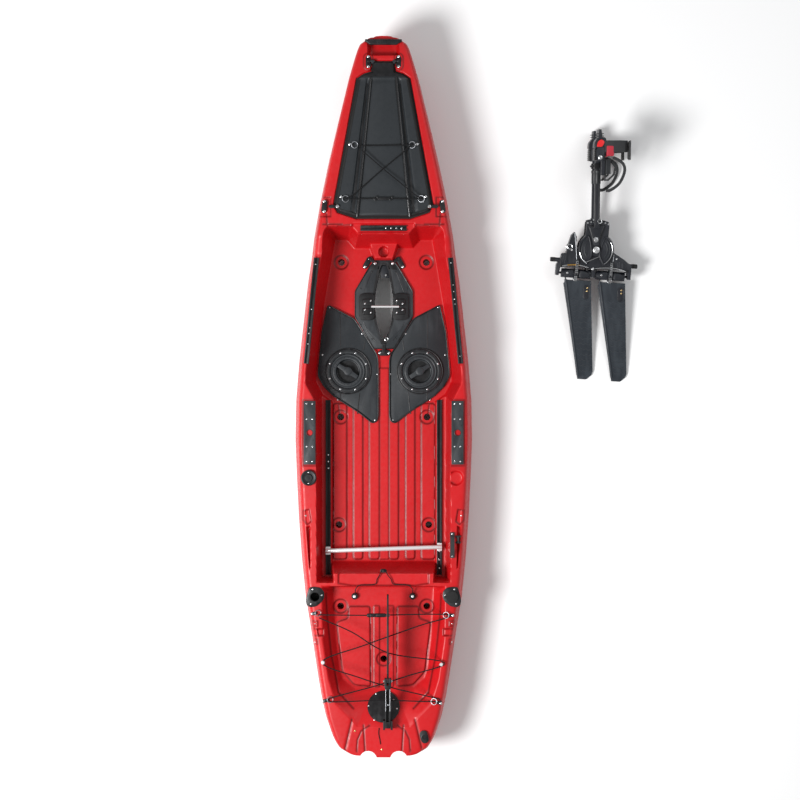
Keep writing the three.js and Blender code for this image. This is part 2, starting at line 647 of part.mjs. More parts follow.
function lidSolid() {
  const rim = grown(mirrored(lidRecessShares), -lidGap);
  const crownTop = grown(rim, -lidRidgeWidth);
  const low = foredeckZ - lidRecessDepth + gasketThickness + 2 * gap;
  const rimTop = low + lidHeight;
  const outer = ringSolid([ringAt(rim, low), ringAt(rim, rimTop - lidWall), ringAt(crownTop, rimTop)]);
  const inside = grown(rim, -gasketWidth - lidWall);
  const under = prism(inside, low - overrun, rimTop - lidWall);
  const ridges = Object.values(sides).map((side) => {
    const [front, back] = lidRidgeShares.map(atHull);
    const run = [[side * front[0], front[1]], [side * back[0], back[1]]];
    const across = lidRidgeWidth / 2;
    const outline = [
      [run[0][0] - across, run[0][1]], [run[0][0] + across, run[0][1]],
      [run[1][0] + across, run[1][1] + lidGap * 4], [run[1][0] - across, run[1][1] + lidGap * 4],
    ];
    return prism(outline, rimTop - lidWall, rimTop + lidRidgeHeight);
  });
  const [, hingeY] = atHull(hatchHingeShares);
  const pinZ = foredeckZ + hatchPinHeight;
  const neck = lidRecessShares[1][0] * halfBeam - lidGap;
  const lugs = Object.values(sides).map((side) => {
    const lugX = side * (neck - hingeKnuckle.length / 2);
    const lug = boxAt([hingeKnuckle.length, hingeKnuckle.radius * 2, pinZ + hatchPinRadius - rimTop + lidWall],
      [lugX, hingeY, (pinZ + hatchPinRadius + rimTop - lidWall) / 2]);
    return add(lug, bar([lugX, hingeY, pinZ], [side * (neck + hatchPinLength), hingeY, pinZ], hatchPinRadius, 12));
  });
  const [latchX, latchY] = atHull(hatchLatchShares);
  const posts = Object.values(sides).map((side) => latchPost([side * latchLidX(latchX), latchY], rimTop - lidWall,
    rimTop));
  return { solid: add(cut(outer, under), ...ridges, ...lugs, ...posts), rimTop, pinZ, hingeY };
}

// How far out on the lid the latch turns, inboard of its reach over the deck
const latchLidX = (x) => x - latchLever.length / 2 - lidRidgeWidth;

// A post that a latch lever turns on
function latchPost(place, low, surface) {
  return post(place, low, surface + latchPostHeight, latchPinRadius, 12);
}

// A flat lever on its post, reaching outward over the piece that it holds down
function latchSolid([x, y], surface, angle) {
  const outline = moved(turned(moved(rounded(latchLever.length, latchLever.width),
    [0, latchLever.length / 2 - latchLever.width / 2]), angle), [x, y]);
  const low = surface + gap;
  const lever = plate(outline, low, low + latchLever.thickness);
  return cut(lever, post([x, y], low - overrun, low + overrun, latchPinRadius + runningGap, 12));
}

function buildBowHatch(group) {
  const lid = lidSolid();
  group.add(piece('bow_hatch_lid', lid.solid, slate));
  const opening = grown(mirrored(lidRecessShares), -hatchLip + gasketWidth);
  const bed = foredeckZ - lidRecessDepth + gap;
  const gasket = cut(prism(opening, bed, bed + gasketThickness),
    prism(grown(opening, -gasketWidth), bed - overrun, bed + overrun));
  group.add(piece('hatch_gasket', gasket, rubber));
  const [hingeX, hingeY] = atHull(hatchHingeShares);
  const [latchX, latchY] = atHull(hatchLatchShares);
  for (const [name, side] of Object.entries(sides)) {
    const base = plate(moved(rounded(hingeBase.length, hingeBase.width), [side * hingeX, hingeY]),
      foredeckZ + gap, foredeckZ + gap + hingeBase.thickness);
    const inner = lidRecessShares[1][0] * halfBeam + hingeKnuckle.length / 4;
    const knuckle = bar([side * inner, hingeY, lid.pinZ], [side * (inner + hingeKnuckle.length), hingeY, lid.pinZ],
      hingeKnuckle.radius, 20);
    const web = boxAt([hingeKnuckle.length, hingeKnuckle.radius * 2, lid.pinZ - foredeckZ - gap],
      [side * (inner + hingeKnuckle.length / 2), hingeY, (lid.pinZ + foredeckZ + gap) / 2]);
    const bore = bar([0, hingeY, lid.pinZ], [side * (inner + 2 * hingeKnuckle.length), hingeY, lid.pinZ],
      hatchPinRadius + runningGap, 16);
    group.add(piece(`hatch_hinge_${name}`, cut(add(base, knuckle, web), bore), black));
    group.add(piece(`hatch_latch_${name}`,
      latchSolid([side * latchLidX(latchX), latchY], lid.rimTop, -side * Math.PI / 2), black));
  }
}

function buildBowHandle(group) {
  const [, y] = atHull(bowHandleShares);
  const low = foredeckZ + gap;
  const grip = boxAt([bowHandle.length, bowHandle.width, bowHandle.thickness],
    [0, y, low + bowHandle.thickness / 2]);
  const clear = boxAt([bowHandle.length - 2 * bowHandle.foot, bowHandle.width + overrun, bowHandle.thickness / 2],
    [0, y, low + bowHandle.thickness / 8]);
  group.add(piece('bow_handle', cut(grip, clear), black));
}

function buildPanels(group) {
  for (const [name, side] of Object.entries(sides)) {
    const outline = panelShares.map(([across, along]) => atHull([side * across, along]));
    const centre = roundHatchPlace(side);
    const low = cockpitFloorZ + gap;
    const top = low + panelThickness;
    const sheet = plate(grown(outline, -panelGap / 2), low, top);
    const ring = post(centre, low, top + hatchRing.height, hatchRing.outer, 28);
    const bore = post(centre, low - overrun, top + overrun, hatchRing.inner, 28);
    group.add(piece(`deck_panel_${name}`, cut(add(sheet, ring), bore), slate));
    group.add(piece(`round_hatch_${name}`, roundHatchSolid(centre, top, -side * capAngleDeg * degrees), slate));
  }
}

// A screw-in hatch cap: a disc with a round bowl and a bar across it to turn it by
function roundHatchSolid([x, y], low, angle) {
  const radius = hatchRing.inner - 2 * runningGap;
  const { thickness, bowlRadius, bowlDepth, wall } = hatchCap;
  const bowlTop = bowlRadius;
  const bowlLow = bowlRadius * 0.8;
  const profile = [
    [0, -bowlDepth - wall], [bowlLow + wall, -bowlDepth - wall], [bowlTop + wall, -wall], [radius, -wall],
    [radius, thickness], [bowlTop, thickness], [bowlLow, -bowlDepth], [0, -bowlDepth],
  ].map(([r, z]) => new THREE.Vector2(r, z));
  const turnedCap = manifoldOf(new THREE.LatheGeometry(profile, 28).rotateX(Math.PI / 2));
  const barSolid = boxAt([hatchCap.bar, bowlTop * 2 + wall, hatchCap.barHeight],
    [0, 0, thickness - hatchCap.barHeight / 2]);
  const solid = add(turnedCap, barSolid);
  return solid.rotate([0, 0, angle / degrees]).translate([x, y, low]);
}

function buildCassette(group) {
  const low = cockpitFloorZ + gap;
  const top = low + cassetteThickness;
  const sheet = prism(mirrored(cassetteShares), low, top);
  const sleeve = wellSlot(sleeveWall, sleeveBottomZ, top);
  const rodY = crossRodShare * hullLength;
  const rodZ = top + receiver.height / 2;
  const slotHalf = slotShares[4][0] * halfBeam;
  const blocks = Object.values(sides).map((side) => boxAt([receiver.width, receiver.length, receiver.height],
    [side * (slotHalf + receiver.width / 2), rodY, top + receiver.height / 2]));
  const rodReach = slotHalf + crossRodSeat;
  const bore = bar([-rodReach - gap, rodY, rodZ], [rodReach + gap, rodY, rodZ], crossRodRadius + gap, 16);
  const latches = Object.entries(cassetteLatches);
  const posts = latches.map(([, latch]) => latchPost(atHull(latch.shares), top - gap, top));
  const solid = add(cut(add(sheet, sleeve, ...blocks), wellSlot(0, -overrun, top + overrun), bore), ...posts);
  group.add(piece('well_cassette', solid, slate));
  group.add(piece('cassette_cross_rod', bar([-rodReach, rodY, rodZ], [rodReach, rodY, rodZ], crossRodRadius, 16),
    steel));
  for (const [name, latch] of latches) {
    group.add(piece(`cassette_latch_${name}`,
      latchSolid(atHull(latch.shares), top, latch.turnDeg * degrees), black));
  }
}

function buildDeckFittings(group) {
  for (const [name, side] of Object.entries(sides)) {
    const place = atHull([side * rodShares[0], rodShares[1]]);
    const flangeLow = deckZ + gap;
    const flangeTop = flangeLow + rodHolder.thickness;
    const flange = post(place, flangeLow, flangeTop, rodHolder.flange, 20);
    const liner = post(place, deckZ - rodHolder.depth, flangeTop, rodHolder.outer, 16);
    const bore = post(place, deckZ - rodHolder.depth + rodHolder.wall, flangeTop + overrun, rodHolder.inner, 16);
    group.add(piece(`rod_holder_${name}`, cut(add(flange, liner), bore), black));
    if (name === 'right') group.add(piece('rod_holder_cap', rodCapSolid(place, flangeTop), rubber));
  }
  const dialLow = deckZ + gap;
  const knob = add(post(dialPlace, dialLow, dialLow + dial.height, dial.radius, 24),
    post(dialPlace, dialLow, dialLow + dial.height + dial.hubHeight, dial.hubRadius, 16),
    post(dialPlace, deckZ - dial.axleDepth, dialLow + gap, dial.axleRadius, 12));
  group.add(piece('steering_dial', knob, black));
  const drainPlace = atHull(drainShares);
  const oval = turned(rounded(drainPlug.length, drainPlug.radius * 2), drainPlug.turnDeg * degrees);
  const plug = add(plate(moved(oval, drainPlace), deckZ + gap, deckZ + gap + drainPlug.height),
    post(drainPlace, deckZ - drainPlug.stemDepth, deckZ + 2 * gap, drainPlug.stemRadius, 16));
  group.add(piece('drain_plug', plug, black));
  group.add(piece('side_handle', gripSolid(), webbing));
}

// A rubber cap on the rod holder, hinged at its inboard edge
function rodCapSolid([x, y], surface) {
  const low = surface + gap;
  const disc = post([x, y], low, low + rodCap.thickness, rodCap.radius, 20);
  const ear = boxAt([rodCap.ear, rodCap.hinge * 2, rodCap.thickness],
    [x - rodCap.radius - rodCap.ear / 4, y, low + rodCap.thickness / 2]);
  const plugLow = surface - rodCap.thickness;
  return add(disc, ear, post([x, y], plugLow, low + gap, rodHolder.inner * 0.6, 20));
}

// A strap handle whose two feet are screwed to the deck
function gripSolid() {
  const [x, y] = atHull(gripShares);
  const half = gripStrap.length / 2;
  const foot = gripStrap.width;
  const { height, thickness } = gripStrap;
  const outline = [
    [-half, 0], [-half + foot, 0], [-half + foot + thickness, height * 0.6], [-half + 2 * foot, height - thickness],
    [half - 2 * foot, height - thickness], [half - foot - thickness, height * 0.6], [half - foot, 0], [half, 0],
    [half, thickness], [half - foot + thickness, thickness], [half - foot, height * 0.7],
    [half - 2 * foot, height], [-half + 2 * foot, height], [-half + foot, height * 0.7],
    [-half + foot - thickness, thickness], [-half, thickness],
  ];
  return plate(outline, -gripStrap.width / 2, gripStrap.width / 2)
    .rotate([90, 0, 0]).rotate([0, 0, 90]).translate([x, y, deckZ + gap]);
}

function buildRudder(group) {
  const hingeZ = rudderHinge.z;
  const aside = (solid) => solid.translate([rudderHinge.across, 0, 0]);
  const slopeRise = deckZ - tankwellFloorZ;
  const [floorEnd, topEnd] = [tankFloorShares[5][1], tankTopShares[5][1]];
  const slopeRun = (floorEnd - topEnd) * hullLength;
  const slope = Math.atan2(slopeRise, slopeRun);
  const discY = (floorEnd + topEnd) / 2 * hullLength;
  const hingeY = discY - rudderHinge.back;
  const discZ = (tankwellFloorZ + deckZ) / 2;
  const disc = bar([0, discY, discZ],
    [0, discY + rudderDisc.thickness * Math.sin(slope), discZ + rudderDisc.thickness * Math.cos(slope)],
    rudderDisc.radius, 40).translate([0, gap * Math.sin(slope), gap * Math.cos(slope)]);
  const lugs = Object.values(sides).map((side) => boxAt(
    [rudderLug.width / 2, rudderLug.length, rudderLug.height + rudderDisc.radius],
    [side * (rudderLug.gap / 2 + rudderLug.width / 4), hingeY,
      hingeZ + rudderLug.over - (rudderLug.height + rudderDisc.radius) / 2],
  ));
  const under = plate([[-hullBeam, -hullBeam], [hullBeam, -hullBeam], [hullBeam, hullBeam], [-hullBeam, hullBeam]],
    -hullBeam, 0).rotate([-slope / degrees, 0, 0])
    .translate([0, discY + gap * Math.sin(slope), discZ + gap * Math.cos(slope)]);
  const pin = bar([-rudderLug.gap / 2 - pinSeat, hingeY, hingeZ], [rudderLug.gap / 2 + pinSeat, hingeY, hingeZ],
    rudderPinRadius, 14);
  group.add(piece('rudder_mount', add(disc, aside(add(cut(add(...lugs), under), pin))), black));

  const armFront = hingeY + rudderArm.length;
  const half = rudderArm.height / 2;
  const body = boxAt([rudderArm.width, rudderArm.length + half, rudderArm.height],
    [0, (hingeY + armFront) / 2 - half / 2, hingeZ]);
  const trough = boxAt([rudderArm.width - 2 * rudderArm.wall, rudderArm.length, rudderArm.height],
    [0, (hingeY + armFront) / 2 + half * 1.4, hingeZ + rudderArm.wall]);
  const bore = bar([-rudderArm.width, hingeY, hingeZ], [rudderArm.width, hingeY, hingeZ],
    rudderPinRadius + runningGap, 16);
  const yawY = hingeY + rudderYawReach;
  const tongue = boxAt([rudderArm.width, rudderYawReach - rudderArm.length + gap, rudderArm.wall],
    [0, (armFront + yawY) / 2, hingeZ - half + rudderArm.wall / 2]);
  const stem = post([0, yawY], hingeZ - half, hingeZ + half, rudderPinRadius, 14);
  const toe = post([0, yawY], hingeZ - half, hingeZ - half + rudderArm.wall, rudderArm.width / 2, 20);
  group.add(piece('rudder_arm', aside(add(cut(add(body, tongue, toe), trough, bore), stem)), steel));

  const headLow = hingeZ - half + rudderArm.wall + gap;
  const headTop = headLow + rudderHead.height;
  const pitchY = yawY + rudderHead.reach;
  const pitchZ = hingeZ + rudderBlade.rise;
  const headBody = add(post([0, yawY], headLow, headTop, rudderHead.radius, 24),
    boxAt([rudderHead.radius * 2, rudderHead.reach + rudderHead.fork, rudderHead.height / 2],
      [0, yawY + (rudderHead.reach + rudderHead.fork) / 2, pitchZ]));
  const forkSlot = boxAt([rudderBlade.thickness + 2 * runningGap, rudderHead.reach + 2 * rudderHead.fork,
    rudderBlade.chord * 1.2], [0, pitchY + rudderHead.fork / 2, pitchZ]);
  const stemBore = post([0, yawY], headLow - overrun, hingeZ + half + runningGap, rudderPinRadius + runningGap, 16);
  const pitchPin = bar([-rudderHead.radius, pitchY, pitchZ], [rudderHead.radius, pitchY, pitchZ],
    rudderHead.pinRadius, 12);
  group.add(piece('rudder_head', aside(add(cut(headBody, forkSlot, stemBore), pitchPin)), black));

  const outline = bladeShares.map(([along, across]) => [along * rudderBlade.length, across * rudderBlade.chord]);
  const blade = plate(outline, -rudderBlade.thickness / 2, rudderBlade.thickness / 2)
    .rotate([90, 0, 0]).rotate([0, 0, 90]).translate([0, pitchY, pitchZ]);
  const bladeBore = bar([-rudderHead.radius, pitchY, pitchZ], [rudderHead.radius, pitchY, pitchZ],
    rudderHead.pinRadius + runningGap, 16);
  group.add(piece('rudder_blade', aside(cut(blade, bladeBore)), black));
}

// Cord routes, points chosen by hand as shares of the half beam, of the length and of the depth
const onHull = (route) => route.map(([across, along, up]) => [
  across * halfBeam, along * hullLength, up * hullDepth,
]);
const bowBungeeRoute = onHull([
  [-0.2756, 0.3467, 1.2033], [0.2267, 0.3478, 1.2033], [0.2844, 0.3456, 1.2067], [-0.0133, 0.3142, 1.2133],
  [-0.3333, 0.2794, 1.2067], [-0.4044, 0.2736, 1.2033], [0, 0.2744, 1.2133], [0.4044, 0.2736, 1.2033],
  [0.3511, 0.2789, 1.2267], [0.0222, 0.3122, 1.24], [-0.24, 0.3406, 1.2333],
]);
const sternBungeeRoute = onHull([
  [-0.7267, -0.3017, 1.0233], [-0.1333, -0.3022, 1.0233], [0.7289, -0.3017, 1.0233], [0.3778, -0.325, 1.02],
  [-0.2, -0.35, 1.02], [-0.6844, -0.3672, 1.0233], [-0.2667, -0.3889, 1.0133], [0.0889, -0.4028, 1.01],
  [0.6489, -0.4211, 1.0233], [0, -0.4203, 1.0133], [-0.6489, -0.4211, 1.0333], [-0.0889, -0.4, 1.0367],
  [0.2667, -0.3861, 1.0367], [0.6844, -0.3672, 1.0367], [0.2, -0.3472, 1.04], [-0.3778, -0.3256, 1.0433],
  [-0.7156, -0.3067, 1.0433],
]);
const tetherRoute = onHull([
  [-0.32, -0.2761, 0.7583], [-0.3156, -0.27, 0.8], [-0.3111, -0.2672, 0.8733], [-0.2978, -0.2642, 1.0067],
  [-0.2622, -0.2606, 1.0133], [-0.0978, -0.2594, 1.01], [-0.0711, -0.2522, 1.01], [-0.0444, -0.2467, 1.0233],
  [-0.0178, -0.2394, 1.0233], [0, -0.2386, 1.0233], [0.02, -0.2397, 1.0233], [0.0489, -0.2467, 1.0233],
  [0.0844, -0.2522, 1.01], [0.1111, -0.2589, 1.01], [0.2311, -0.26, 1.01], [0.2844, -0.2611, 1.0133],
  [0.3111, -0.2642, 1.0067], [0.3222, -0.2672, 0.8733], [0.3267, -0.27, 0.8], [0.3289, -0.2761, 0.7583],
]);
const rudderLineRoute = onHull([
  [-0.0489, -0.4589, 1.008], [-0.0533, -0.4667, 1.008], [-0.04, -0.4756, 1.008], [-0.0333, -0.4817, 1.008],
]);

function buildCords(group) {
  group.add(piece('bow_bungee', cord(bowBungeeRoute, bungeeRadius), cordBlack));
  group.add(piece('stern_bungee', cord(sternBungeeRoute, bungeeRadius), cordBlack));
  const knobs = [tetherRoute[0], tetherRoute[tetherRoute.length - 1]].map((end) => {
    const ball = new THREE.SphereGeometry(tetherKnobRadius, 10, 6);
    return manifoldOf(ball.translate(end[0], end[1] - tetherKnobRadius * 0.8, end[2]));
  });
  group.add(piece('tether_cord', add(cord(tetherRoute, lineRadius), ...knobs), cordBlack));
  group.add(piece('rudder_line', cord(rudderLineRoute, lineRadius), cordBlack));
  const [eyeX, eyeY] = atHull(tetherEyeShares);
  const oval = turned(rounded(padRadius * 2.6, padRadius * 1.4), Math.PI / 2);
  const eye = add(plate(moved(oval, [eyeX, eyeY]), deckZ + gap,
    deckZ + gap + padHeight), bar([eyeX, eyeY, deckZ + gap], [eyeX, eyeY, deckZ + padHeight * 3], padHeight, 12));
  group.add(piece('tether_eye', eye, black));
}

// The drive, in its own axes: x aft, y up, z to port, with its origin on the crank axle
function spineSolid() {
  const outline = spineShares.map(([along, up]) => [along * spineLength, up * spineDepth]);
  const half = spineWidth / 2;
  const body = plate(outline, -half, half);
  const end = spineLength / 2;
  const pegs = Object.entries({ front: -1, rear: 1 }).map(([name, side]) => bar(
    [side * (end - pegSeat), pegRise[name], 0], [side * (end + pegLength), pegRise[name], 0], pegRadius, 16,
  ));
  const shafts = [-1, 1].map((side) => bar([side * shaftInset.middle, hubShaftY, 0],
    [side * (end - shaftInset.end), hubShaftY, 0], hubShaftRadius, 16));
  const bore = bar([0, 0, -half - overrun], [0, 0, half + overrun], axleRadius + gap, 20);
  return add(cut(add(body, ...pegs), bore), ...shafts);
}

const drumLow = spineWidth / 2 + drumGap;
const drumTop = drumLow + drumThickness;

function drumSolid() {
  const steps = 9;
  const wing = Array.from({ length: steps + 1 }, (_, step) => {
    const angle = THREE.MathUtils.lerp(drumWingDeg.from, drumWingDeg.to, step / steps) * degrees;
    return [drumRadius * Math.cos(angle), drumRadius * Math.sin(angle)];
  });
  const [rootLow, ...rootHigh] = wingRootShares.map(([x, y]) => [x * drumRadius, y * drumRadius]);
  const right = [rootLow, ...wing, ...rootHigh];
  const left = right.map(([x, y]) => [-x, y]).reverse();
  const fan = fanShares.map(([x, y]) => [x * fanRadius, y * fanRadius]);
  const hub = bar([0, 0, drumLow], [0, 0, drumTop], axleHeadRadius * 1.9, 28);
  const parts = [plate(right, drumLow, drumTop), plate(left, drumLow, drumTop),
    plate(fan, drumTop - fanThickness, drumTop), hub];
  return cut(add(...parts), bar([0, 0, 0], [0, 0, drumTop + overrun], axleRadius + gap, 20));
}

const armLow = drumTop + gap;
const pedalLow = armLow + crankPostDepth + pedalGap;
const pedalHigh = pedalLow + pedal.width;
const spindleY = crankLength - spindleInset;

function crankArmSolid() {
  const { top, width, lap, thickness } = crankFoot;
  const foot = plate(crankFootShares.map(([x, y]) => [x * width, y * top]), armLow, armLow + thickness);
  const upright = boxAt([crankPostWidth, crankLength - top + lap, crankPostDepth],
    [0, (crankLength + top) / 2, armLow + crankPostDepth / 2]);
  const spindleTop = pedalHigh - gap;
  const spindle = bar([0, spindleY, armLow + crankPostDepth / 2], [0, spindleY, spindleTop],
    spindleRadius, 16);
  return add(foot, upright, spindle);
}

function pedalSolid() {
  const outline = pedalShares.map(([x, y]) => [x * pedal.thickness, spindleY + y * pedal.above]);
  const sole = plate(outline, pedalLow, pedalHigh);
  const heel = boxAt([heelPlate.depth, heelPlate.drop, heelPlate.width],
    [pedal.thickness / 2 + heelPlate.out, spindleY - heelPlate.drop / 2 + heelPlate.lap,
      (pedalLow + pedalHigh) / 2]);
  const bore = bar([0, spindleY, 0], [0, spindleY, pedalHigh + overrun], spindleRadius + runningGap, 20);
  return cut(add(sole, heel), bore);
}

// The broad strap over the foot: an arch from one edge of the pedal to the other
function toeStrapSolid() {
  const outline = toeStrapShares.map(([across, out]) => [across * pedal.width, out * toeStrap.height]);
  const start = pedal.thickness / 2 + pedal.bulge + gap;
  const high = spindleY + toeStrap.low + toeStrap.width;
  return plate(outline, 0, toeStrap.width)
    .rotate([90, 0, 0]).rotate([0, 90, 0]).translate([start, high, (pedalLow + pedalHigh) / 2]);
}

// The heel strap: a D-shaped loop behind the heel plate
function heelStrapSolid() {
  const { width, length, reach, lift } = heelStrap;
  const start = pedal.thickness / 2 + heelPlate.out + heelPlate.depth / 2 + gap;
  const band = strapThickness * 2;
  const outline = moved(heelStrapShares.map(([out, down]) => [out * reach, down * length]),
    [start, spindleY + lift]);
  const opening = grown(outline, -band);
  const middle = (pedalLow + pedalHigh) / 2;
  return cut(plate(outline, middle - width / 2, middle + width / 2),
    plate(opening, middle - overrun, middle + overrun));
}

function mastSolid(offset) {
  const start = offset - hubLength / 2;
  const hub = bar([start, hubShaftY, 0], [start + hubLength, hubShaftY, 0], hubRadius, 16);
  const wheel = bar([offset - sprocket.width / 2, hubShaftY, 0], [offset + sprocket.width / 2, hubShaftY, 0],
    sprocket.radius, 16);
  const bore = bar([start - overrun, hubShaftY, 0], [start + hubLength + overrun, hubShaftY, 0],
    hubShaftRadius + runningGap, 12);
  const { top, tip, run } = mastLine(offset);
  const inside = top.clone().addScaledVector(run, -hubRadius - mastShoulder);
  const mast = bar(inside.toArray(), tip.toArray(), mastRadius, 10);
  const shoulder = bar([inside.x, hubShaftY, 0], inside.toArray(), mastRadius * 1.6, 10);
  return cut(add(hub, wheel, mast, shoulder), bore);
}

// Where the leading edge starts, for the fin whose hub is centred at an offset along the spine
const finTop = (offset) => [offset - finLead, hubShaftY - hubRadius - finDrop];

function finPoint(offset, [across, down]) {
  const [x, y] = finTop(offset);
  return [x + across * finTopWidth, y + down * finLength];
}

function mastLine(offset) {
  const top = new THREE.Vector3(...finPoint(offset, mastTopShares), 0);
  const tip = new THREE.Vector3(...finPoint(offset, mastTipShares), 0);
  return { top, tip, run: tip.clone().sub(top).normalize() };
}

function finSolid(offset) {
  const outline = finShares.map((place) => finPoint(offset, place));
  const sheet = plate(outline, -finThickness / 2, finThickness / 2);
  const { top, tip, run } = mastLine(offset);
  const from = top.clone().addScaledVector(run, finStripEnds.top);
  const to = tip.clone().addScaledVector(run, finStripEnds.tip);
  const strip = bar(from.toArray(), to.toArray(), finStrip / 2, 10);
  const bore = bar(top.clone().addScaledVector(run, -overrun).toArray(),
    tip.clone().addScaledVector(run, gap).toArray(), mastRadius + gap, 10);
  return cut(add(sheet, strip), bore);
}

const cableFrontRoute = [
  [-112, 76, 31], [-106, 40, 31], [-99, 0, 32], [-94, -40, 32], [-90, -70, 32], [-88, -100, 31],
  [-88, -128, 30.2],
];
const cableRearRoute = [
  [66, 66, 32], [80, 48, 32], [88, 30, 32], [93, 5, 32], [96, -20, 32], [95, -60, 32], [90, -96, 31],
  [88, -128, 30.2],
];

function buildDrive() {
  const drive = new THREE.Group();
  drive.add(piece('drive_spine', spineSolid(), slate));
  const headZ = armLow + crankFoot.thickness + gap;
  const ends = [-1, 1].map((side) => bar([0, 0, side * headZ], [0, 0, side * (headZ + axleHeadHeight)],
    axleHeadRadius, 24));
  drive.add(piece('main_axle', add(bar([0, 0, -headZ - gap], [0, 0, headZ + gap], axleRadius, 20), ...ends), steel));
  const halves = { port: 1, starboard: -1 };
  for (const [name, side] of Object.entries(halves)) {
    const flip = (solid) => (side === 1 ? solid : solid.mirror([0, 0, 1]));
    const leaning = (solid) => flip(solid.rotate([0, 0, crankLean]));
    drive.add(piece(`crank_drum_${name}`, flip(drumSolid()), slate));
    drive.add(piece(`crank_arm_${name}`, leaning(crankArmSolid()), black));
    drive.add(piece(`pedal_${name}`, leaning(pedalSolid()), slate));
    drive.add(piece(`toe_strap_${name}`, leaning(toeStrapSolid()), webbing));
    drive.add(piece(`heel_strap_${name}`, leaning(heelStrapSolid()), webbing));
  }
  const offsets = { front: -finPitch / 2, rear: finPitch / 2 };
  for (const [name, offset] of Object.entries(offsets)) {
    drive.add(piece(`mast_${name}`, mastSolid(offset), slate));
    drive.add(piece(`fin_${name}`, finSolid(offset), finBlue));
  }
  drive.add(piece('cable_front', cord(cableFrontRoute, cableRadius), steel));
  drive.add(piece('cable_rear', cord(cableRearRoute, cableRadius), steel));
  return drive;
}

// The drive leans over until the lower pedal and both fin tips meet the floor
function layDown(drive) {
  const { tip } = mastLine(0);
  const reach = spindleY - tip.y;
  const lowest = (name) => {
    drive.updateWorldMatrix(false, true);
    return new THREE.Box3().setFromObject(drive.getObjectByName(name), true).min.z;
  };
  drive.rotation.x = Math.atan2(pedalHigh, reach);
  for (let pass = 0; pass < 3; pass += 1) {
    drive.rotation.x -= (lowest('pedal_starboard') - lowest('fin_rear')) / reach;
  }
  drive.position.z = -lowest('fin_rear');
  const holder = new THREE.Group();
  holder.rotation.z = driveTiltDeg * degrees;
  holder.position.set(drivePlace.x, drivePlace.y, 0);
  holder.add(drive);
  return holder;
}

const kayak = new THREE.Group();
kayak.add(piece('hull', buildHull(), red));
buildBowHandle(kayak);
buildBowHatch(kayak);
buildTracks(kayak);
buildSeatBar(kayak);
buildPanels(kayak);
buildCassette(kayak);
buildDeckFittings(kayak);
buildRudder(kayak);
buildCords(kayak);
kayak.add(layDown(buildDrive()));

export default kayak;
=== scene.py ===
"""The looks of the pedal kayak and its drive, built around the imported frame. Sizes are in millimetres."""
import json
import math
from functools import partial

import bmesh
import bpy
import numpy as np
from mathutils import Matrix, Vector


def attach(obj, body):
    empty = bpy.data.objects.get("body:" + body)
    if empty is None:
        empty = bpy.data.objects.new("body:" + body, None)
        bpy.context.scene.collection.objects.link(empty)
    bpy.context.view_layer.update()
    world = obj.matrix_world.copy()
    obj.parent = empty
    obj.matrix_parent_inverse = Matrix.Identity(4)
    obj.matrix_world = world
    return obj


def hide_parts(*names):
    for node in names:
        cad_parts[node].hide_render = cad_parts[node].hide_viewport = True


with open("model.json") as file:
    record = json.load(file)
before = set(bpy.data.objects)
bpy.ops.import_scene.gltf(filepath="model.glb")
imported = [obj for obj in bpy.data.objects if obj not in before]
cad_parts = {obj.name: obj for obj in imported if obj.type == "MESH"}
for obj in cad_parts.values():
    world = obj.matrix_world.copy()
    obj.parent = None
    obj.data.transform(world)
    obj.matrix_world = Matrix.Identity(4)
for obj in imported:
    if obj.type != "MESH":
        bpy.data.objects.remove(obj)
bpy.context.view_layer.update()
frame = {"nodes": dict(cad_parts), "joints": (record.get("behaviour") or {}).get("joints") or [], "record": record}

HALF_BEAM = 450
LENGTH = 3600
DECK = 300
BOW_RISE = 40
SEGMENTS = 32
UP = Vector((0, 0, 1))
SIDES = ((-1, "left"), (1, "right"))


# Outlines
def at(*shares):
    """Points in shares of the half beam and of the length, in millimetres."""
    return [(x * HALF_BEAM, y * LENGTH) for x, y in shares]


def mirror(outline):
    return [(-x, y) for x, y in reversed(outline)]


def both(*shares):
    """An outline given for the starboard half, closed over the centreline."""
    right = [p for p in at(*shares) if p[0] > 0]
    return right + mirror(right)


def sided(side, *points):
    """Starboard points, taken to port where side is -1."""
    return [(side * x, *rest) for x, *rest in points]


def rect(x0, y0, x1, y1):
    return [(x0, y0), (x1, y0), (x1, y1), (x0, y1)]


def circle(radius, n=SEGMENTS, centre=(0, 0)):
    return [(centre[0] + radius * math.cos(2 * math.pi * i / n),
             centre[1] + radius * math.sin(2 * math.pi * i / n)) for i in range(n)]


def capsule(length, width, n=8):
    """An outline with round ends, its long side along Y."""
    r, half = width / 2, length / 2 - width / 2
    end = [(r * math.cos(math.pi * k / n), half + r * math.sin(math.pi * k / n)) for k in range(n + 1)]
    return end + [(-x, -y) for x, y in end]


def moved(outline, x, y, turn=0.0):
    c, s = math.cos(math.radians(turn)), math.sin(math.radians(turn))
    return [(px * c - py * s + x, px * s + py * c + y) for px, py in outline]


def area(outline):
    return sum(a[0] * b[1] - b[0] * a[1] for a, b in zip(outline, outline[1:] + outline[:1])) / 2


def wound(outline):
    """The outline, run so that its inside is on the left."""
    return outline if area(outline) > 0 else outline[::-1]


def corners(outline):
    """Each point of an outline between its neighbours, as vectors."""
    points = [Vector(p) for p in outline]
    return zip(points[-1:] + points[:-1], points, points[1:] + points[:1])


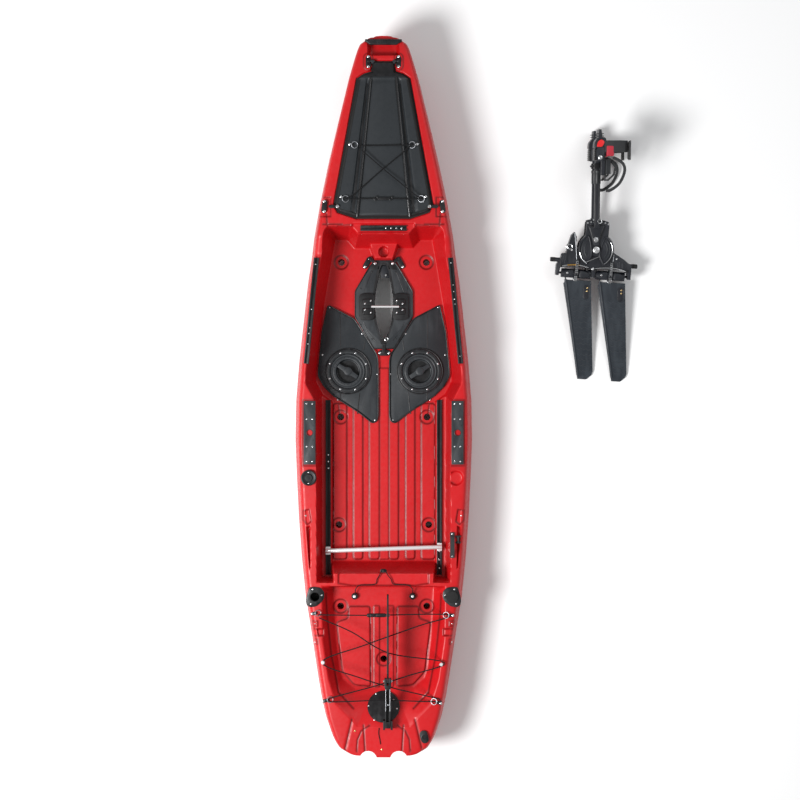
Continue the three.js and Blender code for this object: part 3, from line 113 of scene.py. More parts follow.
def inset(outline, distance):
    """An outline moved inward by a distance, with mitred corners."""
    sign = 1 if area(outline) > 0 else -1
    out = []
    for before, here, after in corners(outline):
        d0, d1 = (here - before).normalized(), (after - here).normalized()
        n0, n1 = Vector((-d0.y, d0.x)) * sign, Vector((-d1.y, d1.x)) * sign
        mid = (n0 + n1).normalized() if (n0 + n1).length > 1e-6 else n0
        out.append(tuple(here + mid * (distance / max(mid.dot(n0), 0.4))))
    return out


def round_corners(outline, radius, steps=4):
    """An outline whose corners are cut by arcs of about the radius."""
    out = []
    for before, here, after in corners(outline):
        reach = min(radius, (before - here).length * 0.45, (after - here).length * 0.45)
        a, b = (here + (end - here).normalized() * reach for end in (before, after))
        for t in np.arange(steps + 1) / steps:
            out.append(tuple(a * (1 - t) ** 2 + here * 2 * t * (1 - t) + b * t * t))
    return out


def spline(points, per=8):
    """A smooth line through points."""
    p = [np.array(q, float) for q in points]
    p = [2 * p[0] - p[1]] + p + [2 * p[-1] - p[-2]]
    out = []
    for i in range(1, len(p) - 2):
        for t in np.arange(per) / per:
            out.append(0.5 * (2 * p[i] + (p[i + 1] - p[i - 1]) * t
                              + (2 * p[i - 1] - 5 * p[i] + 4 * p[i + 1] - p[i + 2]) * t * t
                              + (3 * p[i] - p[i - 1] - 3 * p[i + 1] + p[i + 2]) * t ** 3))
    return out + [p[-2]]


# Meshes, as pairs of vertices and faces
def join(*parts):
    verts, faces, base = [], [], 0
    for v, f in parts:
        verts.append(np.asarray(v, float).reshape(-1, 3))
        faces.extend([tuple(i + base for i in face) for face in f])
        base += len(verts[-1])
    return np.concatenate(verts), faces


def shift(part, matrix):
    """A part put through a 4x4 matrix."""
    verts, faces = part
    m = np.array(matrix)
    if np.linalg.det(m[:3, :3]) < 0:
        faces = [tuple(reversed(face)) for face in faces]
    return np.asarray(verts, float).reshape(-1, 3) @ m[:3, :3].T + m[:3, 3], faces


def stood(part, place, axis):
    """A part built up along Z, put at a place with its Z along an axis."""
    return shift(part, Matrix.Translation(place) @ UP.rotation_difference(Vector(axis)).to_matrix().to_4x4())


def flat(outline, z):
    return [(x, y, z) for x, y in outline]


def rings(loops, closed=False):
    """A skin through loops of equal point counts."""
    n, count = len(loops[0]), len(loops)
    faces = []
    for r in range(count if closed else count - 1):
        a, b = r * n, ((r + 1) % count) * n
        faces += [(a + i, a + (i + 1) % n, b + (i + 1) % n, b + i) for i in range(n)]
    if not closed:
        faces.append(tuple(reversed(range(n))))
        faces.append(tuple(range((count - 1) * n, count * n)))
    return np.concatenate([np.asarray(loop, float).reshape(-1, 3) for loop in loops]), faces


def slab(outline, low, high, edge=1.0, under=0.0):
    """A plate with a rounded upper edge and, where asked, a rounded lower one."""
    outline = wound(outline)
    steps = 3
    loops = []
    for k in range(steps if under else 0):
        a = math.pi / 2 * k / steps
        loops.append(flat(inset(outline, under * (1 - math.sin(a))), low + under * (1 - math.cos(a))))
    loops.append(flat(outline, low + under))
    for k in range(steps + 1):
        a = math.pi / 2 * k / steps
        loops.append(flat(inset(outline, edge * (1 - math.cos(a))), high - edge * (1 - math.sin(a))))
    return rings(loops)


def box(low, high, edge=1.0):
    """A block with rounded upright and upper edges."""
    outline = round_corners(rect(*low[:2], *high[:2]), edge * 1.6, 3)
    return slab(outline, low[2], high[2], edge, under=min(edge, 0.6))


def lathe(profile, n=SEGMENTS, centre=(0, 0, 0), axis=UP, closed=False):
    """A turned skin; its profile of (radius, height) runs from the bottom up, or closes on itself."""
    return stood(rings([flat(circle(r, n), z) for r, z in profile], closed), centre, axis)


def tube(points, radius, sides=12, closed=False, section=None):
    """A tube along points; section gives a flat or shaped profile in place of a circle."""
    pts = [Vector(p) for p in points]
    n = len(pts)
    loops = []
    across = None
    for i, p in enumerate(pts):
        ahead = pts[(i + 1) % n] if closed else pts[min(i + 1, n - 1)]
        run = (ahead - (pts[i - 1] if closed or i else p)).normalized()
        if across is None:
            across = run.cross(UP if abs(run.z) < 0.95 else Vector((1, 0, 0))).normalized()
        else:
            across = (across - run * across.dot(run)).normalized()
        lift = run.cross(across)
        loops.append([tuple(p + across * (u * radius) + lift * (w * radius))
                      for u, w in section or circle(1.0, sides)])
    return rings(loops, closed)


def ring_tube(centre, radius, thick=2.2, axis=UP, n=28):
    """A closed wire ring."""
    turn = UP.rotation_difference(Vector(axis))
    return tube([Vector(centre) + turn @ Vector((x, y, 0)) for x, y in circle(radius, n)], thick, 8, True)


SCREW_DOME = ((1, -0.4), (1, 0.55), (0.93, 1.364), (0.72, 2.024), (0.58, 2.2))
SCREW_CROSS = ((0.5, 2.2), (0.42, 0.33))


def screw(place, radius=6.0, axis=UP):
    """A domed screw head with a cross cut into it."""
    n = 32
    star = [0.42 + 0.58 * max(0.0, math.cos(8 * math.pi * i / n)) ** 1.5 for i in range(n)]
    loops = [flat(circle(radius * r, n), z) for r, z in SCREW_DOME]
    loops += [[(x * k, y * k, z) for (x, y), k in zip(circle(radius * r, n), star)] for r, z in SCREW_CROSS]
    return stood(rings(loops), place, axis)


def linked(name, part):
    """A mesh object of a part, linked to the scene."""
    mesh = bpy.data.meshes.new(name)
    mesh.from_pydata((np.asarray(part[0]) / 1000).tolist(), [], part[1])
    mesh.validate()
    obj = bpy.data.objects.new(name, mesh)
    bpy.context.scene.collection.objects.link(obj)
    work = bmesh.new()
    work.from_mesh(mesh)
    bmesh.ops.recalc_face_normals(work, faces=work.faces)
    work.to_mesh(mesh)
    work.free()
    return obj


def smooth(mesh, sharp):
    mesh.polygons.foreach_set("use_smooth", [True] * len(mesh.polygons))
    mesh.set_sharp_from_angle(angle=math.radians(sharp))


def put(name, look, body, *parts, slot=None, replaces=(), sharp=35):
    """A piece of the scene, riding on a body. Its slot argument is not used."""
    obj = linked(name, join(*parts))
    smooth(obj.data, sharp)
    obj.data.materials.append(look)
    if replaces:
        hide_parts(*replaces)
    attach(obj, body)
    return obj


# Materials
def make(mat, kind, **values):
    """A shader node with the values of its inputs."""
    node = mat.node_tree.nodes.new("ShaderNode" + kind)
    for socket, value in values.items():
        node.inputs[socket.replace("_", " ")].default_value = value
    return node


def bumped(mat, height, strength, distance):
    tree = mat.node_tree
    node = make(mat, "Bump", Strength=strength, Distance=distance)
    tree.links.new(height, node.inputs["Height"])
    tree.links.new(node.outputs["Normal"], tree.nodes["Principled BSDF"].inputs["Normal"])


def product(mat, one, two):
    node = make(mat, "Math")
    node.operation = "MULTIPLY"
    mat.node_tree.links.new(one, node.inputs[0])
    mat.node_tree.links.new(two, node.inputs[1])
    return node.outputs[0]


def material(name, color, rough, metal=0.0, dark=None, mottle=0.12, mottle_scale=9.0, grain=900.0,
             bump=0.12, wear=None, coat=0.0, brush=None, sheen=0.0, spec=0.5, painted_crease_shade=None):
    """A moulded or brushed surface: base colour with patches, fine grain in bump and roughness."""
    mat = bpy.data.materials.new(name)
    mat.use_nodes = True
    links = mat.node_tree.links
    shader = mat.node_tree.nodes["Principled BSDF"].inputs
    shader["Metallic"].default_value = metal
    shader["Specular IOR Level"].default_value = spec
    shader["Coat Weight"].default_value = coat
    shader["Coat Roughness"].default_value = 0.25
    shader["Sheen Weight"].default_value = sheen
    source = make(mat, "TexCoord").outputs["Object"]

    def noise(scale, detail=4.0, stretch=None):
        tex = make(mat, "TexNoise", Scale=scale, Detail=detail)
        vector = source
        if stretch:
            mapping = make(mat, "Mapping", Scale=stretch)
            links.new(source, mapping.inputs["Vector"])
            vector = mapping.outputs["Vector"]
        links.new(vector, tex.inputs["Vector"])
        return tex.outputs["Fac"]

    def spread(value, low, high, to_low, to_high):
        node = make(mat, "MapRange", From_Min=low, From_Max=high, To_Min=to_low, To_Max=to_high)
        links.new(value, node.inputs["Value"])
        return node.outputs["Result"]

    def blend(factor, one, two):
        node = make(mat, "Mix")
        node.data_type = "RGBA"
        links.new(factor, node.inputs["Factor"])
        for socket, value in (("A", one), ("B", two)):
            target = [i for i in node.inputs if i.name == socket and i.type == "RGBA"][0]
            if isinstance(value, tuple):
                target.default_value = (*value, 1)
            else:
                links.new(value, target)
        return [o for o in node.outputs if o.type == "RGBA"][0]

    darker = dark or tuple(c * 0.72 for c in color)
    tone = blend(spread(noise(mottle_scale), 0.35, 0.7, 0.0, mottle * 4), color, darker)
    if wear:
        edges = spread(make(mat, "NewGeometry").outputs["Pointiness"], 0.51, 0.56, 0.0, 0.55)
        scuffs = spread(noise(38, 6.0, (1.0, 0.25, 1.0)), 0.4, 0.62, 0.0, 1.0)
        tone = blend(product(mat, edges, scuffs), tone, wear)
    # Painted shade: a darker colour mixed in along grooves and recess edges, weighted by a mesh attribute.
    if painted_crease_shade:
        lines = make(mat, "Attribute")
        lines.attribute_name = "painted_crease_shade"
        tone = blend(lines.outputs["Fac"], tone, painted_crease_shade)
    links.new(tone, shader["Base Color"])
    fine = noise(grain, 2.0, brush)
    links.new(spread(noise(60, 5.0, brush), 0.3, 0.7, max(rough - 0.07, 0.05), rough + 0.09),
              shader["Roughness"])
    bumped(mat, fine, bump, 0.0006)
    return mat


def woven(name, color, rough, across, along):
    """Braided cord or webbing: two crossed waves in bump."""
    mat = material(name, color, rough, grain=1400.0, bump=0.1, sheen=0.06, spec=0.25)
    coords = [n for n in mat.node_tree.nodes if n.type == "TEX_COORD"][0].outputs["Object"]
    waves = []
    for direction, scale in (("X", across), ("Y", along)):
        wave = make(mat, "TexWave", Scale=scale / 6.28, Distortion=0.6)
        wave.bands_direction = direction
        mat.node_tree.links.new(coords, wave.inputs["Vector"])
        waves.append(wave.outputs["Fac"])
    bumped(mat, product(mat, *waves), 0.5, 0.0008)
    return mat


# The hull's last colour below is painted shade for its grooves and recess edges.
RED = material("hull_polyethylene", (0.5, 0.005, 0.008), 0.4, dark=(0.42, 0.003, 0.005), mottle=0.14,
               mottle_scale=5.0, grain=1300, bump=0.14, wear=(0.58, 0.04, 0.04), spec=0.35,
               painted_crease_shade=(0.13, 0.0, 0.001))
SLATE = material("slate_moulding", (0.014, 0.0175, 0.021), 0.5, grain=1600, bump=0.24,
                 wear=(0.04, 0.045, 0.05), spec=0.4)
DARK = material("dark_moulding", (0.01, 0.012, 0.014), 0.46, grain=1500, bump=0.18, wear=(0.05, 0.055, 0.06),
                spec=0.4)
BLACK = material("black_moulding", (0.004, 0.004, 0.005), 0.42, grain=1500, bump=0.14,
                 wear=(0.035, 0.035, 0.037), spec=0.35)
RUBBER = material("black_rubber", (0.011, 0.011, 0.011), 0.72, grain=1200, bump=0.3, spec=0.3)
STEEL = material("stainless_steel", (0.6, 0.61, 0.62), 0.24, metal=1.0, mottle=0.06, grain=500, bump=0.05,
                 brush=(1.0, 0.06, 1.0))
SCREW = material("screw_steel", (0.78, 0.79, 0.8), 0.26, metal=1.0, mottle=0.05, bump=0.05)
ALLOY = material("bar_alloy", (0.86, 0.87, 0.88), 0.3, metal=0.55, mottle=0.04, grain=500, bump=0.06,
                 brush=(0.05, 1.0, 1.0))
FIN = material("fin_polymer", (0.014, 0.019, 0.026), 0.5, dark=(0.01, 0.014, 0.02), mottle=0.14,
               mottle_scale=14.0, grain=1500, bump=0.3, wear=(0.04, 0.05, 0.06), spec=0.4)
INK = material("drive_moulding", (0.008, 0.0095, 0.014), 0.42, mottle=0.16, grain=1500, bump=0.2,
               wear=(0.035, 0.038, 0.045), spec=0.4)
CHEVRON = material("fin_ridges", (0.03, 0.037, 0.045), 0.5, grain=1300, bump=0.2)
KEEPER = material("red_keeper", (0.42, 0.012, 0.03), 0.5, grain=1100, bump=0.2)
CABLE = material("cable_steel", (0.34, 0.35, 0.37), 0.4, metal=0.8, grain=2200, bump=0.4,
                 brush=(1.0, 0.2, 1.0))
GOLD = material("gold_anodised", (0.72, 0.42, 0.12), 0.3, metal=1.0, mottle=0.08, grain=700, bump=0.05)
BRASS = material("brass", (0.7, 0.5, 0.24), 0.3, metal=1.0, mottle=0.08, grain=700, bump=0.05)
WEB = woven("nylon_webbing", (0.035, 0.036, 0.038), 0.8, 1500.0, 2200.0)
BRAID = woven("braided_cord", (0.003, 0.003, 0.004), 0.75, 2600.0, 2600.0)
GLOSS = material("black_gloss", (0.006, 0.006, 0.007), 0.24, bump=0.06, coat=0.4)
LABEL = material("red_badge", (0.7, 0.01, 0.012), 0.3, bump=0.08, coat=0.3)
# Material slots with their looks, the first of which is worn by the CAD nodes
LOOKS_IN = {"hull_red": (RED, KEEPER, LABEL), "slate_plastic": (SLATE, DARK, INK, GLOSS),
            "black_plastic": (BLACK,), "black_rubber": (RUBBER,), "fin_plastic": (FIN, CHEVRON),
            "steel": (STEEL, SCREW, ALLOY, CABLE, GOLD, BRASS), "webbing": (WEB,), "cord": (BRAID,)}


# Hull
# Stations: place along the length, half width, keel height in deck heights, share of the bow's rise
STATIONS = [
    (0.5, 0.12, 0.62, 0.9), (0.4979, 0.178, 0.55, 1), (0.4896, 0.278, 0.4, 1), (0.4813, 0.306, 0.31, 1),
    (0.4688, 0.339, 0.22, 1), (0.441, 0.406, 0.11, 1), (0.413, 0.461, 0.055, 1), (0.385, 0.517, 0.022, 1),
    (0.33, 0.622, 0, 1), (0.274, 0.717, 0, 1), (0.2229, 0.787, 0, 1), (0.2, 0.811, 0, 0),
    (0.163, 0.856, 0, 0), (0.108, 0.906, 0, 0), (0.052, 0.956, 0, 0), (-0.0035, 0.992, 0, 0),
    (-0.059, 1, 0, 0), (-0.1146, 0.983, 0, 0), (-0.17, 0.961, 0, 0), (-0.2257, 0.928, 0, 0),
    (-0.281, 0.883, 0, 0), (-0.337, 0.811, 0, 0), (-0.392, 0.744, 0.03, 0), (-0.42, 0.706, 0.07, 0),
    (-0.448, 0.656, 0.12, 0), (-0.476, 0.578, 0.19, 0), (-0.488, 0.517, 0.24, 0),
    (-0.4965, 0.4, 0.3, 0), (-0.5, 0.27, 0.34, 0),
]
# The side from the gunwale down to the keel, in half widths and in heights over the keel
SECTION = [(0.955, 1), (1, 0.58), (0.96, 0.38), (0.84, 0.17), (0.58, 0.04), (0.22, 0), (0, 0)]
CROWN = 3.0
# The gunwale's rounded edge: its width, its drop for each millimetre of width and its steps
EDGE, EDGE_FALL, EDGE_STEPS = 27.0, 36 / 27, 8
SIDE_POINTS = 26
END_REACH = 7.0
COCKPIT_TOP = both((0.356, 0.223), (0.444, 0.234), (0.6, 0.234), (0.65, 0.197), (0.74, 0.135),
                   (0.783, 0.094), (0.828, 0.038), (0.833, 0.019), (0.75, 0.006), (0.744, -0.257),
                   (0.555, -0.257), (0.555, -0.237))
LEDGE = both((0.33, 0.214), (0.42, 0.2255), (0.56, 0.2255), (0.603, 0.195), (0.69, 0.132), (0.733, 0.09),
             (0.778, 0.036), (0.78, 0.02), (0.705, 0.002), (0.7, -0.2535), (0.585, -0.2535),
             (0.585, -0.2335))
FOOTWELL = both((0.33, 0.212), (0.41, 0.2235), (0.55, 0.2235), (0.595, 0.193), (0.68, 0.13), (0.723, 0.088),
                (0.768, 0.034), (0.768, 0.022), (0.69, 0.004), (0.578, -0.006), (0.578, -0.232))
TANK_TOP = both((0.689, -0.262), (0.683, -0.337), (0.617, -0.392), (0.533, -0.426), (0.289, -0.457))
TANK_FLOOR = both((0.567, -0.266), (0.533, -0.337), (0.494, -0.381), (0.456, -0.394), (0.322, -0.407))
LID = both((0.144, 0.4665), (0.144, 0.452), (0.222, 0.449), (0.306, 0.442), (0.561, 0.267), (0.517, 0.255),
           (0.3, 0.246))
SLOT = both((0.001, 0.19), (0.033, 0.188), (0.061, 0.18), (0.106, 0.149), (0.117, 0.135), (0.094, 0.108),
            (0.044, 0.087), (0.022, 0.0775), (0.001, 0.0775))
BLOCK, BLOCK_TOP = both((0.172, 0.2195), (0.106, 0.195)), 192
SCUPPERS = at((-0.483, 0.192), (0.483, 0.192), (-0.49, -0.0276), (0.49, -0.0276), (-0.51, -0.1805),
              (0.51, -0.1805), (-0.484, -0.293), (0.484, -0.293), (0, -0.367))
ROUND_HATCHES = at((-0.4075, 0.0373), (0.4075, 0.0373))
RODS = at((-0.762, -0.277), (0.762, -0.277))
SCOOPS = ((-76.5, -1811.4), (76.5, -1811.4))
DIAL, PLUG = (-373.5, -401.4), (203.4, -1695.6)
FLOOR, LEDGE_Z, TANK_Z, FOREDECK = 130, 150, 215, 340

# Moulded into both sides alike. Recesses and pads: outline, depth (negative where raised), slope width
SIDE_POCKET = [(365, -860), (396, -850), (397, -705), (385, -645), (366, -640)]
SIDE_SINKS = (
    ([(372, -560), (404, -566), (404, -612), (380, -636), (362, -620)], 7, 5),  # screw recess
    ([(262, 996), (262, 900), (330, 900), (315, 996)], 5, 5),  # bed of the hatch latch
    (moved(capsule(84, 44), 76, 1670), -3, 5),  # bed of the hatch hinge
    ([(300, -1158), (356, -1158), (362, -1192), (300, -1192)], 12, 10),  # notch behind the rod holder
    (rect(329, -1144, 355, -1118), -4, 4),  # square pads
    (rect(330, -1234, 354, -1210), -4, 4),
    ([(162, 824), (226, 830), (236, 842), (226, 856), (162, 860)], 4, 4),  # recess beside the gear track
    (rect(335, -342, 405, -11), 1.6, 3),  # bed of the mount plate
    (round_corners([(21, -1052), (50, -1052), (50, -1462), (21, -1462)], 8, 3), -3, 4),  # tankwell strip
)
# Grooves: line, width and depth
SIDE_GROOVES = (
    ([(330, 990), (318, 1012)], 5, 2),  # beside the hatch latch
    ([(418, 330), (431, 60), (432, -180), (420, -560)], 7, 2.2),  # sheer line along the gunwale
    ([(158, -1612), (196, -1775)], 14, 4),  # stern deck
    ([(100, -1640), (92, -1775)], 9, 2.5),
    ([(284, 915), (279, 852)], 8, 3),  # steps of the foredeck
    ([(322, 900), (345, 760), (352, 705)], 7, 2.2),
    ([(70, -1640), (110, -1668), (130, -1712), (134, -1770)], 7, 2),  # arcs by the scoops
    ([(205, 862), (300, 862)], 5, 1.5),  # edge of the shelf
    ([(232, -30), (226, -90)], 5, 2),  # cockpit floor
    ([(290, -985), (283, -1100), (262, -1300), (225, -1480), (150, -1560)], 8, 3),  # tankwell wall
)
# Raised pads of the cockpit floor: port edge, starboard edge, front
PADS_AFT = -826
FLOOR_PADS = ((-258, -189, -30), (-156, -107, -10), (-75, -23, 0), (26, 75, 0), (111, 159, -10),
              (191, 261, -30))
TANK_PAD = [(69, -1055), (178, -1055), (178, -1115), (238, -1135), (208, -1385), (148, -1452), (66, -1460)]
SHELF = [(-226, -886), (-226, -930), (-160, -940), (160, -940), (226, -930), (226, -886), (212, -868),
         (-212, -868)]


def to_line(px, py, points):
    """Distance of points to an open line."""
    best = np.full(px.shape, 1e9)
    for (ax, ay), (bx, by) in zip(points, points[1:]):
        ex, ey = bx - ax, by - ay
        t = np.clip(((px - ax) * ex + (py - ay) * ey) / (ex * ex + ey * ey + 1e-9), 0, 1)
        best = np.minimum(best, np.hypot(px - ax - t * ex, py - ay - t * ey))
    return best


def distance(px, py, outline):
    """Signed distance of points to a closed outline, negative inside."""
    loop = [*outline, outline[0]]
    inside = np.zeros(px.shape, bool)
    for (ax, ay), (bx, by) in zip(loop, loop[1:]):
        rise = by - ay if abs(by - ay) > 1e-9 else 1e-9
        inside ^= ((ay > py) != (by > py)) & (px < (bx - ax) * (py - ay) / rise + ax)
    return to_line(px, py, loop) * np.where(inside, -1, 1)


def soft_min(a, b, k):
    h = np.clip(0.5 + 0.5 * (b - a) / k, 0, 1)
    return b * (1 - h) + a * h - k * h * (1 - h)


def soft_max(a, b, k):
    return -soft_min(-a, -b, k)


class Relief:
    """Heights over a grid of points, cut and raised by outlines."""

    def __init__(self, x, y, z):
        self.x, self.y, self.z = x, y, z
        # How much painted shade each point gets along grooves and recess edges.
        self.painted_crease_shade = np.zeros(x.shape)

    def near(self, outline, reach):
        p = np.asarray(outline)
        low, high = p.min(0) - reach, p.max(0) + reach
        return (self.x > low[0]) & (self.x < high[0]) & (self.y > low[1]) & (self.y < high[1])

    def well(self, floor, top, low, high, round_top, round_low, lip=60):
        """A hollow whose walls rise from a floor outline to a top outline."""
        m = self.near(top, lip)
        d0, d1 = (distance(self.x[m], self.y[m], outline) for outline in (floor, top))
        wall = low + (high - low) * d0 / np.maximum(d0 - np.minimum(d1, 0), 1.0)
        wall = np.where(d1 > 0, high + d1 * 4, wall)
        wall = np.where(d0 < 0, low + np.maximum(d0, -30) * 0.6, wall)
        self.z[m] = soft_min(self.z[m], soft_max(wall, np.full_like(wall, low), round_low), round_top)

    def bump(self, outline, top, slope):
        """A block that rises from the floor to a flat top."""
        m = self.near(outline, 20)
        d = distance(self.x[m], self.y[m], inset(outline, 5))
        sides = soft_min(top - np.maximum(d, 0) * slope, np.full_like(d, top), 5)
        self.z[m] = soft_max(self.z[m], sides, 7)

    def sink(self, outline, depth, wall):
        """A shallow recess with sloping sides, or a pad where the depth is negative."""
        m = self.near(outline, wall + 4.5)
        d = distance(self.x[m], self.y[m], outline)
        t = np.clip(0.5 - d / wall, 0, 1)
        self.z[m] -= depth * t * t * (3 - 2 * t)
        # Painted shade along the recess's edge.
        self.painted_crease_shade[m] = np.maximum(self.painted_crease_shade[m], 0.8 * np.exp(-(d / 4.5) ** 2))

    def groove(self, points, width, depth, closed=False):
        line = [*points, points[0]] if closed else points
        m = self.near(line, width * 2)
        d = to_line(self.x[m], self.y[m], line)
        self.z[m] -= depth * np.exp(-(d / (width / 2)) ** 2)
        # Painted shade along the groove.
        self.painted_crease_shade[m] = np.maximum(self.painted_crease_shade[m], np.exp(-(d / 5) ** 2))


def carved(x, y, z):
    """The relief of all that is moulded into the deck and the floors."""
    r = Relief(x, y, z)
    r.well(LEDGE, COCKPIT_TOP, LEDGE_Z, DECK, 7, 7)
    r.well(FOOTWELL, inset(FOOTWELL, -8), FLOOR, LEDGE_Z + 2, 5, 4, 40)
    r.well(TANK_FLOOR, TANK_TOP, TANK_Z, DECK, 7, 8)
    # the lid's recess and the hold below it, the pocket at the bow and the bed of the gear track
    r.well(inset(LID, 3), LID, 328, FOREDECK, 5, 3, 30)
    r.well(inset(LID, 32), inset(LID, 26), 60, 328, 4, 20, 30)
    r.well(rect(-64, 1712, 64, 1772), rect(-80, 1703, 80, 1776), 294, FOREDECK, 9, 12, 40)
    r.well(rect(-150, 822, 150, 862), rect(-158, 816, 158, 868), 329, FOREDECK, 4, 3, 30)
    # the block on the footwell floor and the round recesses
    r.bump(BLOCK, BLOCK_TOP, 9)
    r.well(circle(24, 24, (0, 739)), circle(28, 24, (0, 739)), 153, BLOCK_TOP, 5, 5, 12)
    r.well(circle(32, 24, (363, -403.5)), circle(38, 24, (363, -403.5)), 278, DECK, 6, 8, 16)
    for side in (-1, 1):
        pocket = sided(side, *SIDE_POCKET)
        r.well(inset(pocket, 6), pocket, 272, DECK, 5, 5, 20)
        for outline, depth, wall in SIDE_SINKS:
            r.sink(sided(side, *outline), depth, wall)
        for line, width, depth in SIDE_GROOVES:
            r.groove(sided(side, *line), width, depth)
        pad = round_corners(sided(side, *TANK_PAD), 14, 3)
        r.sink(pad, -4, 5)
        r.groove(pad, 6, 2, closed=True)
    for x0, x1, y1 in FLOOR_PADS:
        pad = round_corners(rect(x0, PADS_AFT, x1, y1), 16)
        r.sink(pad, -3.4, 4)
        r.groove(pad, 5, 1.5, closed=True)
    r.sink(round_corners(rect(-24, PADS_AFT, 26, 150), 8, 3), -2.6, 4)
    r.sink(SHELF, 6, 8)
    for place in SCUPPERS:
        r.sink(circle(34, 24, place), 4, 5)
        r.groove(circle(35, 24, place), 6, 1.6, closed=True)
    return r


def station_values(y):
    """Half width, keel height and rise at places along the hull, smoothed away from the ends."""
    table = np.array(sorted(STATIONS)).T
    fine = np.linspace(-0.5, 0.5, 1441)
    near = np.clip((0.5 - abs(fine)) / 0.03, 0, 1)
    values = []
    for column, width in zip(table[1:], (25, 25, 9)):
        row = np.interp(fine, table[0], column)
        kernel = np.hanning(width + 2)[1:-1]
        padded = np.concatenate([2 * row[0] - row[width:0:-1], row, 2 * row[-1] - row[-2:-width - 2:-1]])
        smoothed = np.convolve(padded, kernel / kernel.sum(), "same")[width:-width]
        values.append(np.interp(y / LENGTH, fine, row * (1 - near) + smoothed * near))
    return values


def rounded_end(loop, sign):
    """Loops that close an end of the skin with a quarter round."""
    centre = np.array([0.0, 0.0, loop[:, 2].mean()])
    span = np.maximum(abs(loop - centre).max(0), 1)
    out = []
    for a in math.pi / 8 * np.arange(1, 5):
        factor = 1 - END_REACH * (1 - math.cos(a)) / span
        factor[1] = 1
        out.append(centre + (loop - centre) * factor + (0, sign * END_REACH * math.sin(a), 0))
    return out


def hull_skin():
    """One closed skin: deck, rounded gunwales, and sides down to the keel."""
    rows, across = ((860, 216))
    y = np.linspace(-LENGTH / 2, LENGTH / 2, rows)
    width, keel, rise = station_values(y)
    width = width * HALF_BEAM
    sheer = DECK + BOW_RISE * rise
    top_half = SECTION[0][0] * width
    r_edge = np.minimum(EDGE, top_half * 0.45)
    t = np.linspace(-1, 1, across)[None, :]
    x = t * (top_half - r_edge)[:, None]
    z = sheer[:, None] - CROWN * abs(t) ** 6
    deck_z = carved(x.ravel(), np.repeat(y, across), z.ravel()).z.reshape(rows, across)
    fine = np.array(spline(SECTION, 6))
    steps = np.linspace(0, len(fine) - 1, SIDE_POINTS)
    fine = np.stack([np.interp(steps, np.arange(len(fine)), column) for column in fine.T], 1)
    turns = math.pi / 2 * np.arange(1, EDGE_STEPS) / EDGE_STEPS
    loops = []
    for i in range(rows):
        r, low, top = r_edge[i], keel[i] * DECK, sheer[i] - CROWN
        side = [(top_half[i] - r + r * math.sin(a), top - r * EDGE_FALL * (1 - math.cos(a))) for a in turns]
        side += [(u * width[i], low + v * (top - r * EDGE_FALL - low)) for u, v in fine[:-1]]
        loop = [*zip(x[i], deck_z[i]), *side, (0.0, low), *[(-u, v) for u, v in reversed(side)]]
        loops.append(np.array([(u, y[i], v) for u, v in loop]))
    for i, share in ((0, 1), (-1, 1), (1, 0.5), (-2, 0.5)):
        loops[i][:, 1] -= np.sign(y[i]) * END_REACH * share
    return rings([*reversed(rounded_end(loops[0], -1)), *loops, *rounded_end(loops[-1], 1)])


def prism(outline, low, high, top=None):
    """A cutter that stands on an outline and may narrow to a top one."""
    return rings([flat(outline, low), flat(top or outline, high)])


def cutters():
    """All that goes through the skin."""
    parts = [prism(circle(18.5, 24, place), -40, 260, circle(17, 24, place)) for place in SCUPPERS]
    parts.append(prism(inset(SLOT, -8), -40, 200))
    for places, radius, n, low, high in ((ROUND_HATCHES, 90, 40, 28, 180), (RODS, 26.6, 28, 176, 330),
                                         (SCOOPS, 44, 28, -40, 360), ((DIAL,), 6.6, 16, 280, 330),
                                         ((PLUG,), 9.6, 16, 280, 330)):
        parts += [prism(circle(radius, n, place), low, high) for place in places]
    return parts


def read(vertices, what):
    """The x, y and z rows of a vector that all vertices have."""
    values = np.zeros(len(vertices) * 3)
    vertices.foreach_get(what, values)
    return values.reshape(-1, 3).T


def hull():
    """The skin with its holes, and painted shade along its creases as an attribute."""
    obj = put("hull_skin", RED, "hull", hull_skin(), replaces=["hull"], sharp=60)
    tool = linked("cut", join(*cutters()))
    modifier = obj.modifiers.new("cut", "BOOLEAN")
    modifier.operation = "DIFFERENCE"
    modifier.solver = "MANIFOLD"
    modifier.object = tool
    bpy.context.view_layer.update()
    mesh = bpy.data.meshes.new_from_object(obj.evaluated_get(bpy.context.evaluated_depsgraph_get()))
    obj.modifiers.clear()
    obj.data = mesh
    bpy.data.objects.remove(tool)
    mesh.materials.clear()
    mesh.materials.append(RED)
    x, y, z = read(mesh.vertices, "co") * 1000
    up = np.clip((read(mesh.vertices, "normal")[2] - 0.3) * 4, 0, 1)
    # Painted shade in grooves and along recess edges, on upward faces above the hull's bottom.
    painted_crease_shade = carved(x, y, z.copy()).painted_crease_shade * up * (z > 120)
    mesh.attributes.new("painted_crease_shade", "FLOAT", "POINT").data.foreach_set("value", painted_crease_shade)
    smooth(mesh, 60)


hull()

# CAD nodes that keep their shape
SLOT_OF = {part["node"]: part["material_slot"] for part in frame["record"]["subparts"]}
BODIES = frame["record"]["behaviour"]["bodies"]
BODY_OF = {node: body for body, members in BODIES.items() for node in members}
DRIVE_BODIES = ("drive", "crank_", "pedal_", "mast_")
LOOK_OF = {name: LOOKS_IN[slot][0] for name, slot in SLOT_OF.items()}
for node_name, body_name in BODY_OF.items():
    if body_name.startswith(DRIVE_BODIES) and SLOT_OF[node_name] in ("slate_plastic", "black_plastic"):
        LOOK_OF[node_name] = INK
LOOK_OF.update(seat_cross_bar=ALLOY, well_cassette=SLATE, cable_front=CABLE, cable_rear=CABLE,
               rudder_blade=BLACK, rudder_arm=BLACK, rudder_head=BLACK, rudder_mount=BLACK)
for node_name, node in frame["nodes"].items():
    node.data.materials.clear()
    node.data.materials.append(LOOK_OF[node_name])

